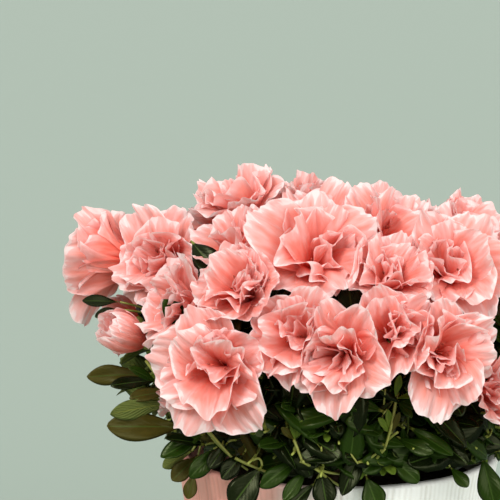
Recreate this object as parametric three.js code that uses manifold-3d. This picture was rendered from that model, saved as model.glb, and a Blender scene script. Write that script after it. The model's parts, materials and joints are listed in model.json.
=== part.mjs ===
// A potted azalea in full bloom: a low, broad shrub with double flowers in a tapered ceramic pot.
// One short trunk stands in the potting compost and parts into boughs. Each bough carries one
// mass of twigs, leaves and blossom that keeps to its own share of the crown.
// Millimetres, +Z up. The origin is the centre of the pot's flat underside, and -Y is the front.
import * as THREE from "three";
import { mergeVertices } from "three/addons/utils/BufferGeometryUtils.js";
import Module from "manifold-3d";

const wasm = await Module();
wasm.setup();

// Pot and compost
const POT_HEIGHT = 165;
const POT_RIM_RADIUS = 98;
const POT_FOOT_RADIUS = 74;
const POT_WALL = 7;
const POT_FLOOR = 9;
const POT_EDGE = 2.5;
const POT_SIDES = 36;
const COMPOST_TOP = 146;
const COMPOST_GAP = 0.36;
const GAP = 0.3;

// Trunk and boughs
const FORK_HEIGHT = 190;
const TRUNK_FOOT_RADIUS = 13;
const TRUNK_RADIUS = 8.5;
const TRUNK_TOP_RADIUS = 6.5;
const TRUNK_SIDES = 12;
const BOUGH_RADIUS = 2.7;
const BOUGH_TIP_RADIUS = 1.9;
const BOUGH_SIDES = 5;
const BOUGH_JOINTS = 4;
const BOUGH_REACH = 58;
const BOUGH_RISE = 0.3;
// How far below the fork the boughs leave the trunk: the upper ones, then two whorls of low ones
const UPPER_BOUGH_DROP = 6;
const LOW_BOUGH_DROPS = [16, 25];

// Crown: the blossoms' hearts lie on a flattened dome round the fork
const CROWN_SPREAD = 140;
const CROWN_RISE = 133;
const CROWN_SQUARENESS = 2.6;
const BLOOM_SPACING = 41;
const BLOOM_WIDTHS = [58, 68];
const BLOOM_OPENNESS = [0.75, 1];
const BLOOM_TURN = 24;
const LOWEST_BLOOM = 15;
const SPIRAL_PLACES = 700;
const GOLDEN_ANGLE = 137.508;
const GOLDEN_SHARE = 0.618;
const LOW_ELEVATION = 24;
const TOP_ELEVATION = 64;
const SITES_PER_MASS = 3;
const LOW_SITE_ELEVATION = -14;
const LOW_SITE_SIZE = 30;
const NEIGHBOUR_ANGLE = 0.85;

// Blossom, in shares of its width: a lobed, frilled funnel with a cup of petals in its throat
const CALYX_DEPTH = 0.27;
const OUTER_PETAL = 0.64;
const PETAL_BEND = 0.55;
const THROAT_HEIGHT = 0.12;
const CUP_FLOOR = 0.22;
const CUP_RIM_HEIGHTS = [0.4, 0.34];
const CUP_RIM_SPREADS = [0.155, 0.22];
const THROAT_RADIUS = 2;
const PETAL_THICKNESS = 1.3;
const PETAL_STEPS = 12;
const NOTCH_SHARES = [0.9, 0.98];
const LOBES = 5;
const FIRST_ANGLE = 14;
const LAST_ANGLE = 94;
const FRILL = 2.2;
const PRESS_START = 0.55;

// Twigs
const STEM_LENGTH = 22;
const STEM_ROOT = 4;
const STEM_RADII = [1.9, 1.9, 1.6];
const STEM_SIDES = 6;
const TWIG_RADII = [1.7, 1.2];
const TWIG_SIDES = 3;
const TWIG_BEND = 0.66;
const TWIG_ARCHES = [0.2, 0, 0.35];
const SHOOT_RADII = [0.7, 0.6];
const SHOOTS_IN_SKIRT = 64;
const SKIRT_RINGS = [
  { radius: 104, rise: -8, lean: -14 },
  { radius: 112, rise: 12, lean: 4 },
];
const SHOOTS_IN_BAND = 130;
const BAND_ELEVATIONS = [20, -14];
const BAND_DEPTH = 0.86;
const BAND_START = 60;

// Leaves, their angles in degrees
const LEAF_LENGTHS = [34, 46];
const LEAF_DROOPS = [0.12, 0.32];
const LEAF_SLIMNESS = 0.42;
const LEAF_WIDEST = 0.56;
const LEAF_THICKNESS = 1.3;
const LEAF_ROOM = 50;
const LEAF_TRIES = 26;
const ROOT_DEPTH = 1;
const ROOT_SHARE = 0.12;
const BLOOM_LEAVES = { count: 2, spreads: [62, 95], step: 2.4 };
const SHOOT_LEAVES = { count: 5, spreads: [50, 85], step: 0 };
const FEWEST_LEAVES = 3;
const BUD_RADIUS = 1.7;
const BUD_HEIGHT = 2.2;

// Cores of the masses
const CORE_RADIUS = 44;
const CORE_STEP = 0.03;
const SMALLEST_CORE = 0.16;
const CORE_MARGIN = 4;
const CORE_ADVANCE = 6;
const CORE_DROP = 10;
const CORE_STRETCH = 1.4;
const CORE_DEPTH = 34;

// Room kept between pieces, and the volume below which two pieces only touch
const LEAF_ROOM_TO_POT = 1.5;
const LEAF_ROOM_TO_LIMB = 1;
const TWIG_ROOM_TO_POT = 3;
const TWIG_ROOM_TO_LIMB = 2;
const SHOOT_ROOM = 3;
const TOUCH_VOLUME = 0.05;

// Seeds tried for each mass, and the steps to which its corners are rounded to test it
const FIRST_SEED = 1000;
const SEED_STEP = 77;
const SEED_TRIES = 12;
const RETRY_STEP = 7;
const ROUNDINGS = [0.01, 0.001, 0.0001];

const FORK = new THREE.Vector3(0, 0, FORK_HEIGHT);
const UP = new THREE.Vector3(0, 0, 1);

// The blossoms that face the front. Azimuth 0 is the front and 90 the right.
// [azimuth, elevation, share of the dome's reach, width, faces azimuth, faces elevation, openness]
const FRONT_BLOOMS = [
  [-92, 32, 1.1, 70, -118, 30, 0.62],
  [-80, 43, 1.0, 74, -38, 30, 0.95],
  [-88, 66, 1.02, 72, -60, 62, 0.85],
  [-25, 77, 1.0, 66, -10, 68, 0.8],
  [28, 69, 1.02, 74, 30, 62, 0.9],
  [-13, 55, 1.0, 80, -8, 44, 0.95],
  [-47, 54, 0.96, 58, -40, 62, 0.85],
  [14, 47, 0.95, 52, 10, 50, 0.6],
  [36, 46, 1.03, 80, 18, 36, 1.0],
  [92, 58, 1.02, 70, 70, 50, 0.9],
  [-52, 36, 0.94, 64, -62, 30, 0.75],
  [-31, 41, 0.98, 60, -26, 36, 0.9],
  [-31, 22, 1.04, 78, -14, 12, 1.0],
  [-14, 32, 0.96, 62, -30, 24, 0.9],
  [-1, 27, 1.02, 66, -22, 14, 0.85],
  [12, 31, 1.0, 58, -4, 26, 0.85],
  [25, 26, 1.03, 74, 22, 14, 1.0],
  [-66, 26, 1.0, 44, -80, 30, 0.25],
  [-60, 14, 0.9, 50, -80, 12, 0.6],
  [40, 14, 0.93, 60, 50, 10, 0.8],
];

// The masses, as [name, azimuth, elevation] of the part of the crown that each takes
const LOW_NAMES = ["front", "front_right", "right", "back_right", "back_left", "left", "front_left"];
const LOW_MASSES = LOW_NAMES.length;
const MASSES = [
  ...LOW_NAMES.map((name, i) => [name, (360 / LOW_MASSES) * i, LOW_ELEVATION]),
  ...["top_front", "top_right", "top_back", "top_left"].map((name, i) => [name, 90 * i, TOP_ELEVATION]),
];

// Unit vector towards an azimuth and elevation, in degrees
function towards(azimuth, elevation) {
  const a = THREE.MathUtils.degToRad(azimuth);
  const e = THREE.MathUtils.degToRad(elevation);
  return new THREE.Vector3(Math.sin(a) * Math.cos(e), -Math.cos(a) * Math.cos(e), Math.sin(e));
}

// How far the dome lies from the fork in one direction
function domeReach(direction) {
  const across = Math.hypot(direction.x, direction.y) / CROWN_SPREAD;
  const rise = Math.abs(direction.z) / CROWN_RISE;
  return (across ** CROWN_SQUARENESS + rise ** CROWN_SQUARENESS) ** (-1 / CROWN_SQUARENESS);
}

// A seeded stream of numbers from 0 to 1
function stream(seed) {
  let state = seed;
  return () => {
    state = (state * 48271) % 2147483647;
    return state / 2147483647;
  };
}

// A number between two limits, by a share from 0 to 1
const between = ([low, high], share) => low + (high - low) * share;

// Two unit vectors square to an axis and to each other
function squareTo(axis) {
  const side = new THREE.Vector3().crossVectors(Math.abs(axis.z) > 0.9 ? new THREE.Vector3(0, 1, 0) : UP, axis);
  side.normalize();
  return [side, new THREE.Vector3().crossVectors(axis, side)];
}

// A closed solid from points and triangles, each triangle seen from outside
function solidOf(points, triangles) {
  const vertProperties = new Float32Array(points.flatMap((p) => [p.x, p.y, p.z]));
  const made = new wasm.Manifold(
    new wasm.Mesh({ numProp: 3, vertProperties, triVerts: new Uint32Array(triangles.flat()) }),
  );
  if (made.volume() > 0) return made;
  const turned = triangles.map(([a, b, c]) => [a, c, b]);
  return new wasm.Manifold(
    new wasm.Mesh({ numProp: 3, vertProperties, triVerts: new Uint32Array(turned.flat()) }),
  );
}

// A three.js geometry as a closed solid
function solidFrom(geometry) {
  const plain = geometry.index ? geometry.toNonIndexed() : geometry.clone();
  plain.deleteAttribute("normal");
  plain.deleteAttribute("uv");
  const merged = mergeVertices(plain, 1e-4);
  return new wasm.Manifold(
    new wasm.Mesh({
      numProp: 3,
      vertProperties: merged.attributes.position.array,
      triVerts: new Uint32Array(merged.index.array),
    }),
  );
}

// A solid as a three.js geometry
function geometryOf(solid) {
  const mesh = solid.getMesh();
  const position = new Float32Array(mesh.numVert * 3);
  for (let i = 0; i < mesh.numVert; i++)
    position.set(mesh.vertProperties.subarray(i * mesh.numProp, i * mesh.numProp + 3), i * 3);
  return new THREE.BufferGeometry()
    .setAttribute("position", new THREE.BufferAttribute(position, 3))
    .setIndex(new THREE.BufferAttribute(new Uint32Array(mesh.triVerts), 1));
}

// Whether each edge of a solid parts just two faces, with its corners rounded to a step
function isSound(solid, step) {
  const { numVert, numProp, vertProperties, triVerts } = solid.getMesh();
  const corner = Array.from({ length: numVert }, (_, i) =>
    Array.from(vertProperties.subarray(i * numProp, i * numProp + 3), (x) => Math.round(x / step)).join(),
  );
  const uses = new Map();
  for (let t = 0; t < triVerts.length; t += 3) {
    const [a, b, c] = [0, 1, 2].map((k) => corner[triVerts[t + k]]);
    if (a === b || b === c || c === a) continue;
    for (const edge of [[a, b], [b, c], [c, a]]) {
      const name = edge.sort().join("|");
      uses.set(name, (uses.get(name) ?? 0) + 1);
    }
  }
  return [...uses.values()].every((count) => count === 2);
}

// A limb along a path of points, with a radius at each and flat ends
function limb(path, radii, sides) {
  const points = [];
  const triangles = [];
  let [side, other] = squareTo(path[1].clone().sub(path[0]).normalize());
  path.forEach((point, i) => {
    const before = path[Math.max(i - 1, 0)];
    const after = path[Math.min(i + 1, path.length - 1)];
    const along = after.clone().sub(before).normalize();
    side = side.clone().addScaledVector(along, -side.dot(along)).normalize();
    other = new THREE.Vector3().crossVectors(along, side);
    for (let k = 0; k < sides; k++) {
      const turn = (2 * Math.PI * k) / sides;
      points.push(
        point
          .clone()
          .addScaledVector(side, radii[i] * Math.cos(turn))
          .addScaledVector(other, radii[i] * Math.sin(turn)),
      );
    }
  });
  const ring = (i, k) => i * sides + (k % sides);
  for (let i = 0; i + 1 < path.length; i++)
    for (let k = 0; k < sides; k++)
      triangles.push(
        [ring(i, k), ring(i, k + 1), ring(i + 1, k + 1)],
        [ring(i, k), ring(i + 1, k + 1), ring(i + 1, k)],
      );
  const last = path.length - 1;
  for (let k = 1; k + 1 < sides; k++)
    triangles.push([ring(0, 0), ring(0, k + 1), ring(0, k)], [ring(last, 0), ring(last, k), ring(last, k + 1)]);
  return solidOf(points, triangles);
}

// Radii that taper evenly from root to tip
const taper = (root, tip, count) =>
  Array.from({ length: count }, (_, i) => root + ((tip - root) * i) / (count - 1));

// The heart, facing and size of every blossom: those of the front, then a spiral over the rest
function makeBlooms() {
  const blooms = FRONT_BLOOMS.map(([azimuth, elevation, share, width, turn, lift, openness]) => {
    const direction = towards(azimuth, elevation);
    return {
      heart: FORK.clone().addScaledVector(direction, share * domeReach(direction)),
      axis: towards(turn, lift),
      radius: width / 2,
      openness,
    };
  });
  const low = Math.sin(THREE.MathUtils.degToRad(LOWEST_BLOOM));
  for (let i = 0; i < SPIRAL_PLACES; i++) {
    const share = (i + 0.5) / SPIRAL_PLACES;
    const elevation = THREE.MathUtils.radToDeg(Math.asin(1 - (1 - low) * share));
    const azimuth = GOLDEN_ANGLE * i;
    const direction = towards(azimuth, elevation);
    const heart = FORK.clone().addScaledVector(direction, domeReach(direction));
    if (blooms.some((b) => b.heart.distanceTo(heart) < BLOOM_SPACING)) continue;
    const size = (i * GOLDEN_SHARE) % 1;
    blooms.push({
      heart,
      axis: towards(azimuth + BLOOM_TURN * (size - 0.5), elevation * 0.8 + 8),
      radius: between(BLOOM_WIDTHS, size) / 2,
      openness: between(BLOOM_OPENNESS, size),
    });
  }
  return blooms;
}

const blooms = makeBlooms();

// Each blossom belongs to the mass whose direction is nearest its own
blooms.forEach((bloom) => {
  bloom.direction = bloom.heart.clone().sub(FORK).normalize();
  bloom.reach = bloom.heart.distanceTo(FORK);
  const nearness = MASSES.map(([, azimuth, elevation]) => bloom.direction.dot(towards(azimuth, elevation)));
  bloom.mass = nearness.indexOf(Math.max(...nearness));
  bloom.calyx = bloom.heart.clone().addScaledVector(bloom.axis, -2 * CALYX_DEPTH * bloom.radius);
});

// The crown is shared out among sites: the blossoms, and a ring of sites below them that belong to
// the low masses in turn
const LOW_SITES = SITES_PER_MASS * LOW_MASSES;
const lowSites = Array.from({ length: LOW_SITES }, (_, i) => ({
  direction: towards((360 * (i - (SITES_PER_MASS - 1) / 2)) / LOW_SITES, LOW_SITE_ELEVATION),
  reach: CROWN_SPREAD,
  radius: LOW_SITE_SIZE,
  mass: Math.floor(i / SITES_PER_MASS),
}));
const sites = [...blooms, ...lowSites];

// The planes through the fork that part one site from others. Each pair shares the angle between
// them by the squares of their sizes.
function planesBetween(site, others) {
  return others.map((other) => {
    const angle = site.direction.angleTo(other.direction);
    const share = (angle * site.radius ** 2) / (site.radius ** 2 + other.radius ** 2);
    const sideways = other.direction.clone().addScaledVector(site.direction, -Math.cos(angle)).normalize();
    const normal = sideways.multiplyScalar(Math.cos(share)).addScaledVector(site.direction, -Math.sin(share));
    return { normal, limit: site.reach * Math.sin(share) };
  });
}

sites.forEach((site) => {
  site.toOtherMasses = planesBetween(
    site,
    sites.filter((other) => other.mass !== site.mass),
  );
});
blooms.forEach((bloom) => {
  const near = (other) => other !== bloom && bloom.direction.angleTo(other.direction) < NEIGHBOUR_ANGLE;
  const parted = (other) => blooms.includes(other) || other.mass !== bloom.mass;
  bloom.toNeighbours = planesBetween(
    bloom,
    sites.filter((other) => near(other) && parted(other)),
  );
});

// Whether a point lies in a mass's own space, a margin clear of every other
function inSpace(point, mass, margin) {
  const offset = point.clone().sub(FORK);
  return sites.some(
    (site) => site.mass === mass && site.toOtherMasses.every(({ normal }) => offset.dot(normal) < -margin),
  );
}

// The pot's outer radius at a height
const potRadius = (z) => POT_FOOT_RADIUS + ((POT_RIM_RADIUS - POT_FOOT_RADIUS) * z) / POT_HEIGHT;

// Whether a point is a margin clear of pot and compost
function clearOfPot(point, margin) {
  if (point.z > POT_HEIGHT + margin) return true;
  const radius = Math.hypot(point.x, point.y);
  if (radius > potRadius(point.z) + margin) return point.z > 0;
  return radius < POT_RIM_RADIUS - 2 * POT_WALL - margin && point.z > COMPOST_TOP + margin;
}

// The trunk's path leans a little as it rises from its flared foot to the fork
const trunkPath = [
  [0.3, COMPOST_TOP + GAP, TRUNK_FOOT_RADIUS],
  [0.3, COMPOST_TOP + 6, TRUNK_RADIUS * 1.12],
  [0.8, COMPOST_TOP + 18, TRUNK_RADIUS],
  [0.4, FORK_HEIGHT - 10, TRUNK_RADIUS * 0.94],
  [0, FORK_HEIGHT + 2, TRUNK_TOP_RADIUS],
];

function makeTrunk(grown = 0) {
  return limb(
    trunkPath.map(([x, z]) => new THREE.Vector3(x, 0, z)),
    trunkPath.map(([, , radius]) => radius + grown),
    TRUNK_SIDES,
  );
}

// Each mass's bough: a curve from inside the trunk to the tip where the mass's stem begins
function makeBoughs() {
  return MASSES.map(([name], mass) => {
    const own = blooms.filter((bloom) => bloom.mass === mass);
    const middle = own
      .reduce((sum, bloom) => sum.add(bloom.heart.clone().sub(FORK)), new THREE.Vector3())
      .normalize();
    const upper = mass >= LOW_MASSES;
    const drop = upper ? UPPER_BOUGH_DROP : LOW_BOUGH_DROPS[mass % 2];
    const root = new THREE.Vector3(0, 0, FORK_HEIGHT - drop);
    const tip = FORK.clone().addScaledVector(middle, BOUGH_REACH);
    const first = new THREE.Vector3(middle.x, middle.y, upper ? middle.z : BOUGH_RISE).normalize();
    const bend = root.clone().addScaledVector(first, BOUGH_REACH / 2);
    const curve = new THREE.QuadraticBezierCurve3(root, bend, tip);
    return { name, mass, middle, path: curve.getPoints(BOUGH_JOINTS), tangent: curve.getTangent(1) };
  });
}

const boughs = makeBoughs();

// Whether a point is a margin clear of every bough and the trunk
function clearOfLimbs(point, margin) {
  const trunkRoom = TRUNK_RADIUS + 2 * margin;
  if (Math.hypot(point.x, point.y) < trunkRoom && point.z < FORK_HEIGHT + 2 * margin) return false;
  return boughs.every(({ path }) =>
    path.every((joint, i) => {
      if (i === 0) return true;
      const near = new THREE.Line3(path[i - 1], joint).closestPointToPoint(point, true, new THREE.Vector3());
      return near.distanceTo(point) > BOUGH_RADIUS + margin;
    }),
  );
}

// A blossom's petals pressed back from the planes it shares with its neighbours. Beyond just over
// half the way to a plane, a point comes ever less near it, and it never crosses.
function pressed(point, bloom) {
  const offset = point.clone().sub(bloom.heart);
  for (let pass = 0; pass < 2; pass++)
    for (const { normal, limit } of bloom.toNeighbours) {
      const end = limit - 2 * GAP;
      const start = PRESS_START * end;
      const reach = offset.dot(normal);
      if (reach > start) {
        const kept = start + (end - start) * (1 - Math.exp(-(reach - start) / (end - start)));
        offset.addScaledVector(normal, kept - reach);
      }
    }
  return offset.add(bloom.heart);
}

// A double blossom as one closed surface of rings round its axis. Its outside opens from the calyx
// like a trumpet to a frilled, five-lobed rim. Its inside goes back down to the throat, and the
// crumpled inner petals stand up from there as a smaller frilled cup.
function makeBloom(bloom, roll, random) {
  const [side, other] = squareTo(bloom.axis);
  const width = 2 * bloom.radius;
  const length = OUTER_PETAL * width;
  const first = THREE.MathUtils.degToRad(FIRST_ANGLE) * bloom.openness + 0.1;
  const last = THREE.MathUtils.degToRad(LAST_ANGLE) * bloom.openness;
  const at = (out, rise, turn) =>
    pressed(
      bloom.calyx
        .clone()
        .addScaledVector(bloom.axis, rise)
        .addScaledVector(side, out * Math.cos(turn))
        .addScaledVector(other, out * Math.sin(turn)),
      bloom,
    );
  // At a share of its length the petal has left the axis by an angle that grows evenly
  const alongPetal = (share) => {
    const step = (share * length) / PETAL_STEPS;
    const angles = Array.from(
      { length: PETAL_STEPS },
      (_, s) => first + ((last - first) * share * (s + 0.5)) / PETAL_STEPS,
    );
    return {
      out: angles.reduce((sum, angle) => sum + step * Math.sin(angle), PETAL_THICKNESS),
      rise: angles.reduce((sum, angle) => sum + step * Math.cos(angle), 0),
      lean: first + (last - first) * share,
    };
  };
  const columns = 2 * LOBES;
  const points = [bloom.calyx.clone().addScaledVector(bloom.axis, -PETAL_THICKNESS)];
  const rings = ["outside", "rim", "inside", "throat", "cup"];
  for (const ring of rings)
    for (let k = 0; k < columns; k++) {
      const turn = roll + (2 * Math.PI * k) / columns;
      const odd = k % 2;
      if (ring === "throat") points.push(at(THROAT_RADIUS, THROAT_HEIGHT * width, turn));
      else if (ring === "cup")
        points.push(at(CUP_RIM_SPREADS[odd] * width * bloom.openness, CUP_RIM_HEIGHTS[odd] * width, turn));
      else if (ring === "rim") {
        const { out, rise } = alongPetal(odd ? between(NOTCH_SHARES, random()) : 1);
        points.push(at(out, rise + FRILL * (odd ? -1 : 1) * (0.5 + random()), turn));
      } else {
        const { out, rise, lean } = alongPetal(PETAL_BEND);
        const off = ((ring === "inside" ? 1 : -1) * PETAL_THICKNESS) / 2;
        points.push(at(out - off * Math.cos(lean), rise + off * Math.sin(lean), turn));
      }
    }
  points.push(at(0, CUP_FLOOR * width, 0));
  const ringPoint = (ring, k) => 1 + ring * columns + (k % columns);
  const triangles = [];
  for (let k = 0; k < columns; k++) {
    triangles.push([0, ringPoint(0, k + 1), ringPoint(0, k)]);
    for (let ring = 0; ring + 1 < rings.length; ring++)
      triangles.push(
        [ringPoint(ring, k), ringPoint(ring, k + 1), ringPoint(ring + 1, k + 1)],
        [ringPoint(ring, k), ringPoint(ring + 1, k + 1), ringPoint(ring + 1, k)],
      );
    triangles.push([points.length - 1, ringPoint(rings.length - 1, k), ringPoint(rings.length - 1, k + 1)]);
  }
  return solidOf(points, triangles);
}

// A leaf: a long diamond with a raised middle, its root sunk in the twig and its tip bent down
function leafPoints(root, direction, normal, length, droop) {
  const halfWidth = (length * LEAF_SLIMNESS) / 2;
  const across = new THREE.Vector3().crossVectors(direction, normal).multiplyScalar(halfWidth);
  const at = (along, down) =>
    root.clone().addScaledVector(direction, along * length).addScaledVector(normal, -down * length);
  const middle = at(LEAF_WIDEST, droop / 4);
  return [
    at(0, 0),
    at(1, droop),
    middle.clone().add(across),
    middle.clone().sub(across),
    middle.clone().addScaledVector(normal, LEAF_THICKNESS),
  ];
}

const LEAF_TRIANGLES = [
  [0, 2, 4],
  [2, 1, 4],
  [1, 3, 4],
  [3, 0, 4],
  [2, 0, 3],
  [1, 2, 3],
];

// Whether a leaf keeps to its mass's space and touches neither pot nor limb
function leafFits(points, mass) {
  const [root, tip, left, right] = points;
  const samples = [tip, left, right];
  for (const end of [tip, left, right])
    for (const share of [0.35, 0.7]) samples.push(root.clone().lerp(end, share));
  return (
    samples.every((p) => clearOfPot(p, LEAF_ROOM_TO_POT) && clearOfLimbs(p, LEAF_ROOM_TO_LIMB)) &&
    points.every((p) => inSpace(p, mass, 2 * GAP))
  );
}

// A solid with the box round it
function boxed(solid) {
  const { min, max } = solid.boundingBox();
  return { solid, box: new THREE.Box3(new THREE.Vector3(...min), new THREE.Vector3(...max)) };
}

// Whether a solid cuts into any of those already placed
function crosses(points, triangles, placed) {
  const box = new THREE.Box3().setFromPoints(points);
  const near = placed.filter((other) => other.box.intersectsBox(box));
  if (!near.length) return false;
  const tested = solidOf(points, triangles);
  return near.some(({ solid }) => tested.intersect(solid).volume() > TOUCH_VOLUME);
}

// Leaves round a twig's end, each a golden angle on from the last. One that would leave the mass's
// space, or cross a leaf or a petal, is left out.
function setLeaves(path, { count, spreads, step }, random, mass, placed) {
  const end = path[path.length - 1];
  const axis = end.clone().sub(path[path.length - 2]).normalize();
  const [side, other] = squareTo(axis);
  const leaves = [];
  let turn = 2 * Math.PI * random();
  for (let i = 0; i < LEAF_TRIES && leaves.length < count; i++) {
    turn = (turn + THREE.MathUtils.degToRad(GOLDEN_ANGLE)) % (2 * Math.PI);
    const out = side.clone().multiplyScalar(Math.cos(turn)).addScaledVector(other, Math.sin(turn));
    const spread = THREE.MathUtils.degToRad(between(spreads, random()));
    const direction = axis.clone().multiplyScalar(Math.cos(spread)).addScaledVector(out, Math.sin(spread));
    const length = between(LEAF_LENGTHS, random());
    const droop = between(LEAF_DROOPS, random());
    const room = Math.cos(THREE.MathUtils.degToRad(LEAF_ROOM));
    if (leaves.some((leaf) => Math.cos(leaf.turn - turn) > room)) continue;
    const normal = axis.clone().addScaledVector(direction, -axis.dot(direction)).normalize();
    const root = end.clone().addScaledVector(axis, -ROOT_DEPTH - step * leaves.length);
    const points = leafPoints(root, direction, normal, length, droop);
    const blade = [points[0].clone().lerp(points[1], ROOT_SHARE), ...points.slice(1)];
    if (!leafFits(points, mass) || crosses(blade, LEAF_TRIANGLES, placed)) continue;
    leaves.push({ turn, points });
    placed.push(boxed(solidOf(points, LEAF_TRIANGLES)));
  }
  return { end, axis, side, other, leaves };
}

// A whorl of leaves that meet in a bud at a shoot's end, as one closed surface. Each leaf reaches out
// between two points of the bud's edge.
function rosette({ end, axis, side, other, leaves }) {
  leaves.sort((a, b) => a.turn - b.turn);
  const points = [
    end.clone().addScaledVector(axis, BUD_HEIGHT),
    end.clone().addScaledVector(axis, -BUD_RADIUS),
  ];
  const triangles = [];
  const count = leaves.length;
  leaves.forEach((leaf, i) => {
    const before = leaves[(i + count - 1) % count].turn - (i === 0 ? 2 * Math.PI : 0);
    const turn = (before + leaf.turn) / 2;
    points.push(
      end
        .clone()
        .addScaledVector(side, BUD_RADIUS * Math.cos(turn))
        .addScaledVector(other, BUD_RADIUS * Math.sin(turn)),
      ...leaf.points.slice(1),
    );
  });
  for (let i = 0; i < count; i++) {
    const [notch, tip, left, right, ridge] = [0, 1, 2, 3, 4].map((k) => 2 + 5 * i + k);
    const next = 2 + 5 * ((i + 1) % count);
    const [first, second] =
      leaves[i].points[2].clone().sub(end).cross(leaves[i].points[1].clone().sub(end)).dot(axis) > 0
        ? [left, right]
        : [right, left];
    triangles.push(
      [0, notch, first],
      [0, first, ridge],
      [0, ridge, second],
      [0, second, next],
      [first, tip, ridge],
      [ridge, tip, second],
      [1, first, notch],
      [1, second, first],
      [1, next, second],
      [first, second, tip],
    );
  }
  return solidOf(points, triangles);
}

// Whether a twig's path keeps to its mass's space and clear of pot and limbs. Its first quarter may
// lie by the bough that it comes from.
function pathFits(path, mass) {
  const quarters = [0, 0.25, 0.5, 0.75, 1];
  const samples = [0, 1].flatMap((i) => quarters.map((share) => path[i].clone().lerp(path[i + 1], share)));
  return samples.every(
    (point, i) =>
      inSpace(point, mass, TWIG_RADII[0] + GAP) &&
      clearOfPot(point, TWIG_ROOM_TO_POT) &&
      (i < 2 || clearOfLimbs(point, TWIG_ROOM_TO_LIMB)),
  );
}

// Where shoots of leaves end: a band round the crown below the blossom, and a skirt of low shoots
// that arch out over the pot's rim
function shootEnds() {
  const ends = [];
  for (let i = 0; i < SHOOTS_IN_SKIRT; i++) {
    const azimuth = (360 * i) / SHOOTS_IN_SKIRT;
    const { radius, rise, lean } = SKIRT_RINGS[i % 2];
    const end = FORK.clone().addScaledVector(towards(azimuth, 0), radius).addScaledVector(UP, rise);
    ends.push({ end, axis: towards(azimuth, lean) });
  }
  for (let i = 0; i < SHOOTS_IN_BAND; i++) {
    const elevation = between(BAND_ELEVATIONS, (i + 0.5) / SHOOTS_IN_BAND);
    const direction = towards(GOLDEN_ANGLE * i + BAND_START, elevation);
    const end = FORK.clone().addScaledVector(direction, BAND_DEPTH * domeReach(direction));
    ends.push({ end, axis: direction });
  }
  return ends;
}

// A mass's core: a rough ball round the stem's end, drawn in from the other masses, the limbs, the
// pot and the blossom
function makeCore(centre, middle, mass) {
  const ball = new THREE.IcosahedronGeometry(CORE_RADIUS, 1);
  if (mass < LOW_MASSES) ball.scale(1, 1, CORE_STRETCH);
  ball.deleteAttribute("normal");
  ball.deleteAttribute("uv");
  const merged = mergeVertices(ball, 1e-3);
  const fits = (point) => {
    const offset = point.clone().sub(FORK);
    return (
      inSpace(point, mass, CORE_MARGIN) &&
      clearOfPot(point, CORE_MARGIN) &&
      clearOfLimbs(point, CORE_MARGIN) &&
      offset.dot(middle) > BOUGH_REACH + CORE_MARGIN &&
      offset.length() < domeReach(offset.clone().normalize()) - CORE_DEPTH
    );
  };
  const position = merged.attributes.position;
  for (let i = 0; i < position.count; i++) {
    const ray = new THREE.Vector3().fromBufferAttribute(position, i);
    const at = (scale) => centre.clone().addScaledVector(ray, scale);
    let scale = 1;
    while (scale > SMALLEST_CORE && ![0.25, 0.5, 0.75, 1].every((share) => fits(at(scale * share))))
      scale -= CORE_STEP;
    position.setXYZ(i, ...at(scale).toArray());
  }
  return solidFrom(merged);
}

// A twig that grows to a point from one of some starts, by the first way that keeps to the mass's
// space and crosses no obstacle
function growTwig(end, axis, starts, radii, obstacles, mass) {
  for (const start of starts) {
    const halfway = start.clone().lerp(end, 0.5);
    const distance = start.distanceTo(end);
    const bends = [
      FORK.clone().lerp(end, TWIG_BEND),
      ...TWIG_ARCHES.map((arch) => halfway.clone().addScaledVector(axis, -arch * distance)),
    ];
    for (const bend of bends) {
      const path = [start, bend, end];
      if (!pathFits(path, mass)) continue;
      const twig = limb(path, taper(...radii, path.length), TWIG_SIDES);
      if (!obstacles.some((solid) => solid.intersect(twig).volume() > TOUCH_VOLUME)) return { path, twig };
    }
  }
  return null;
}

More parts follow.
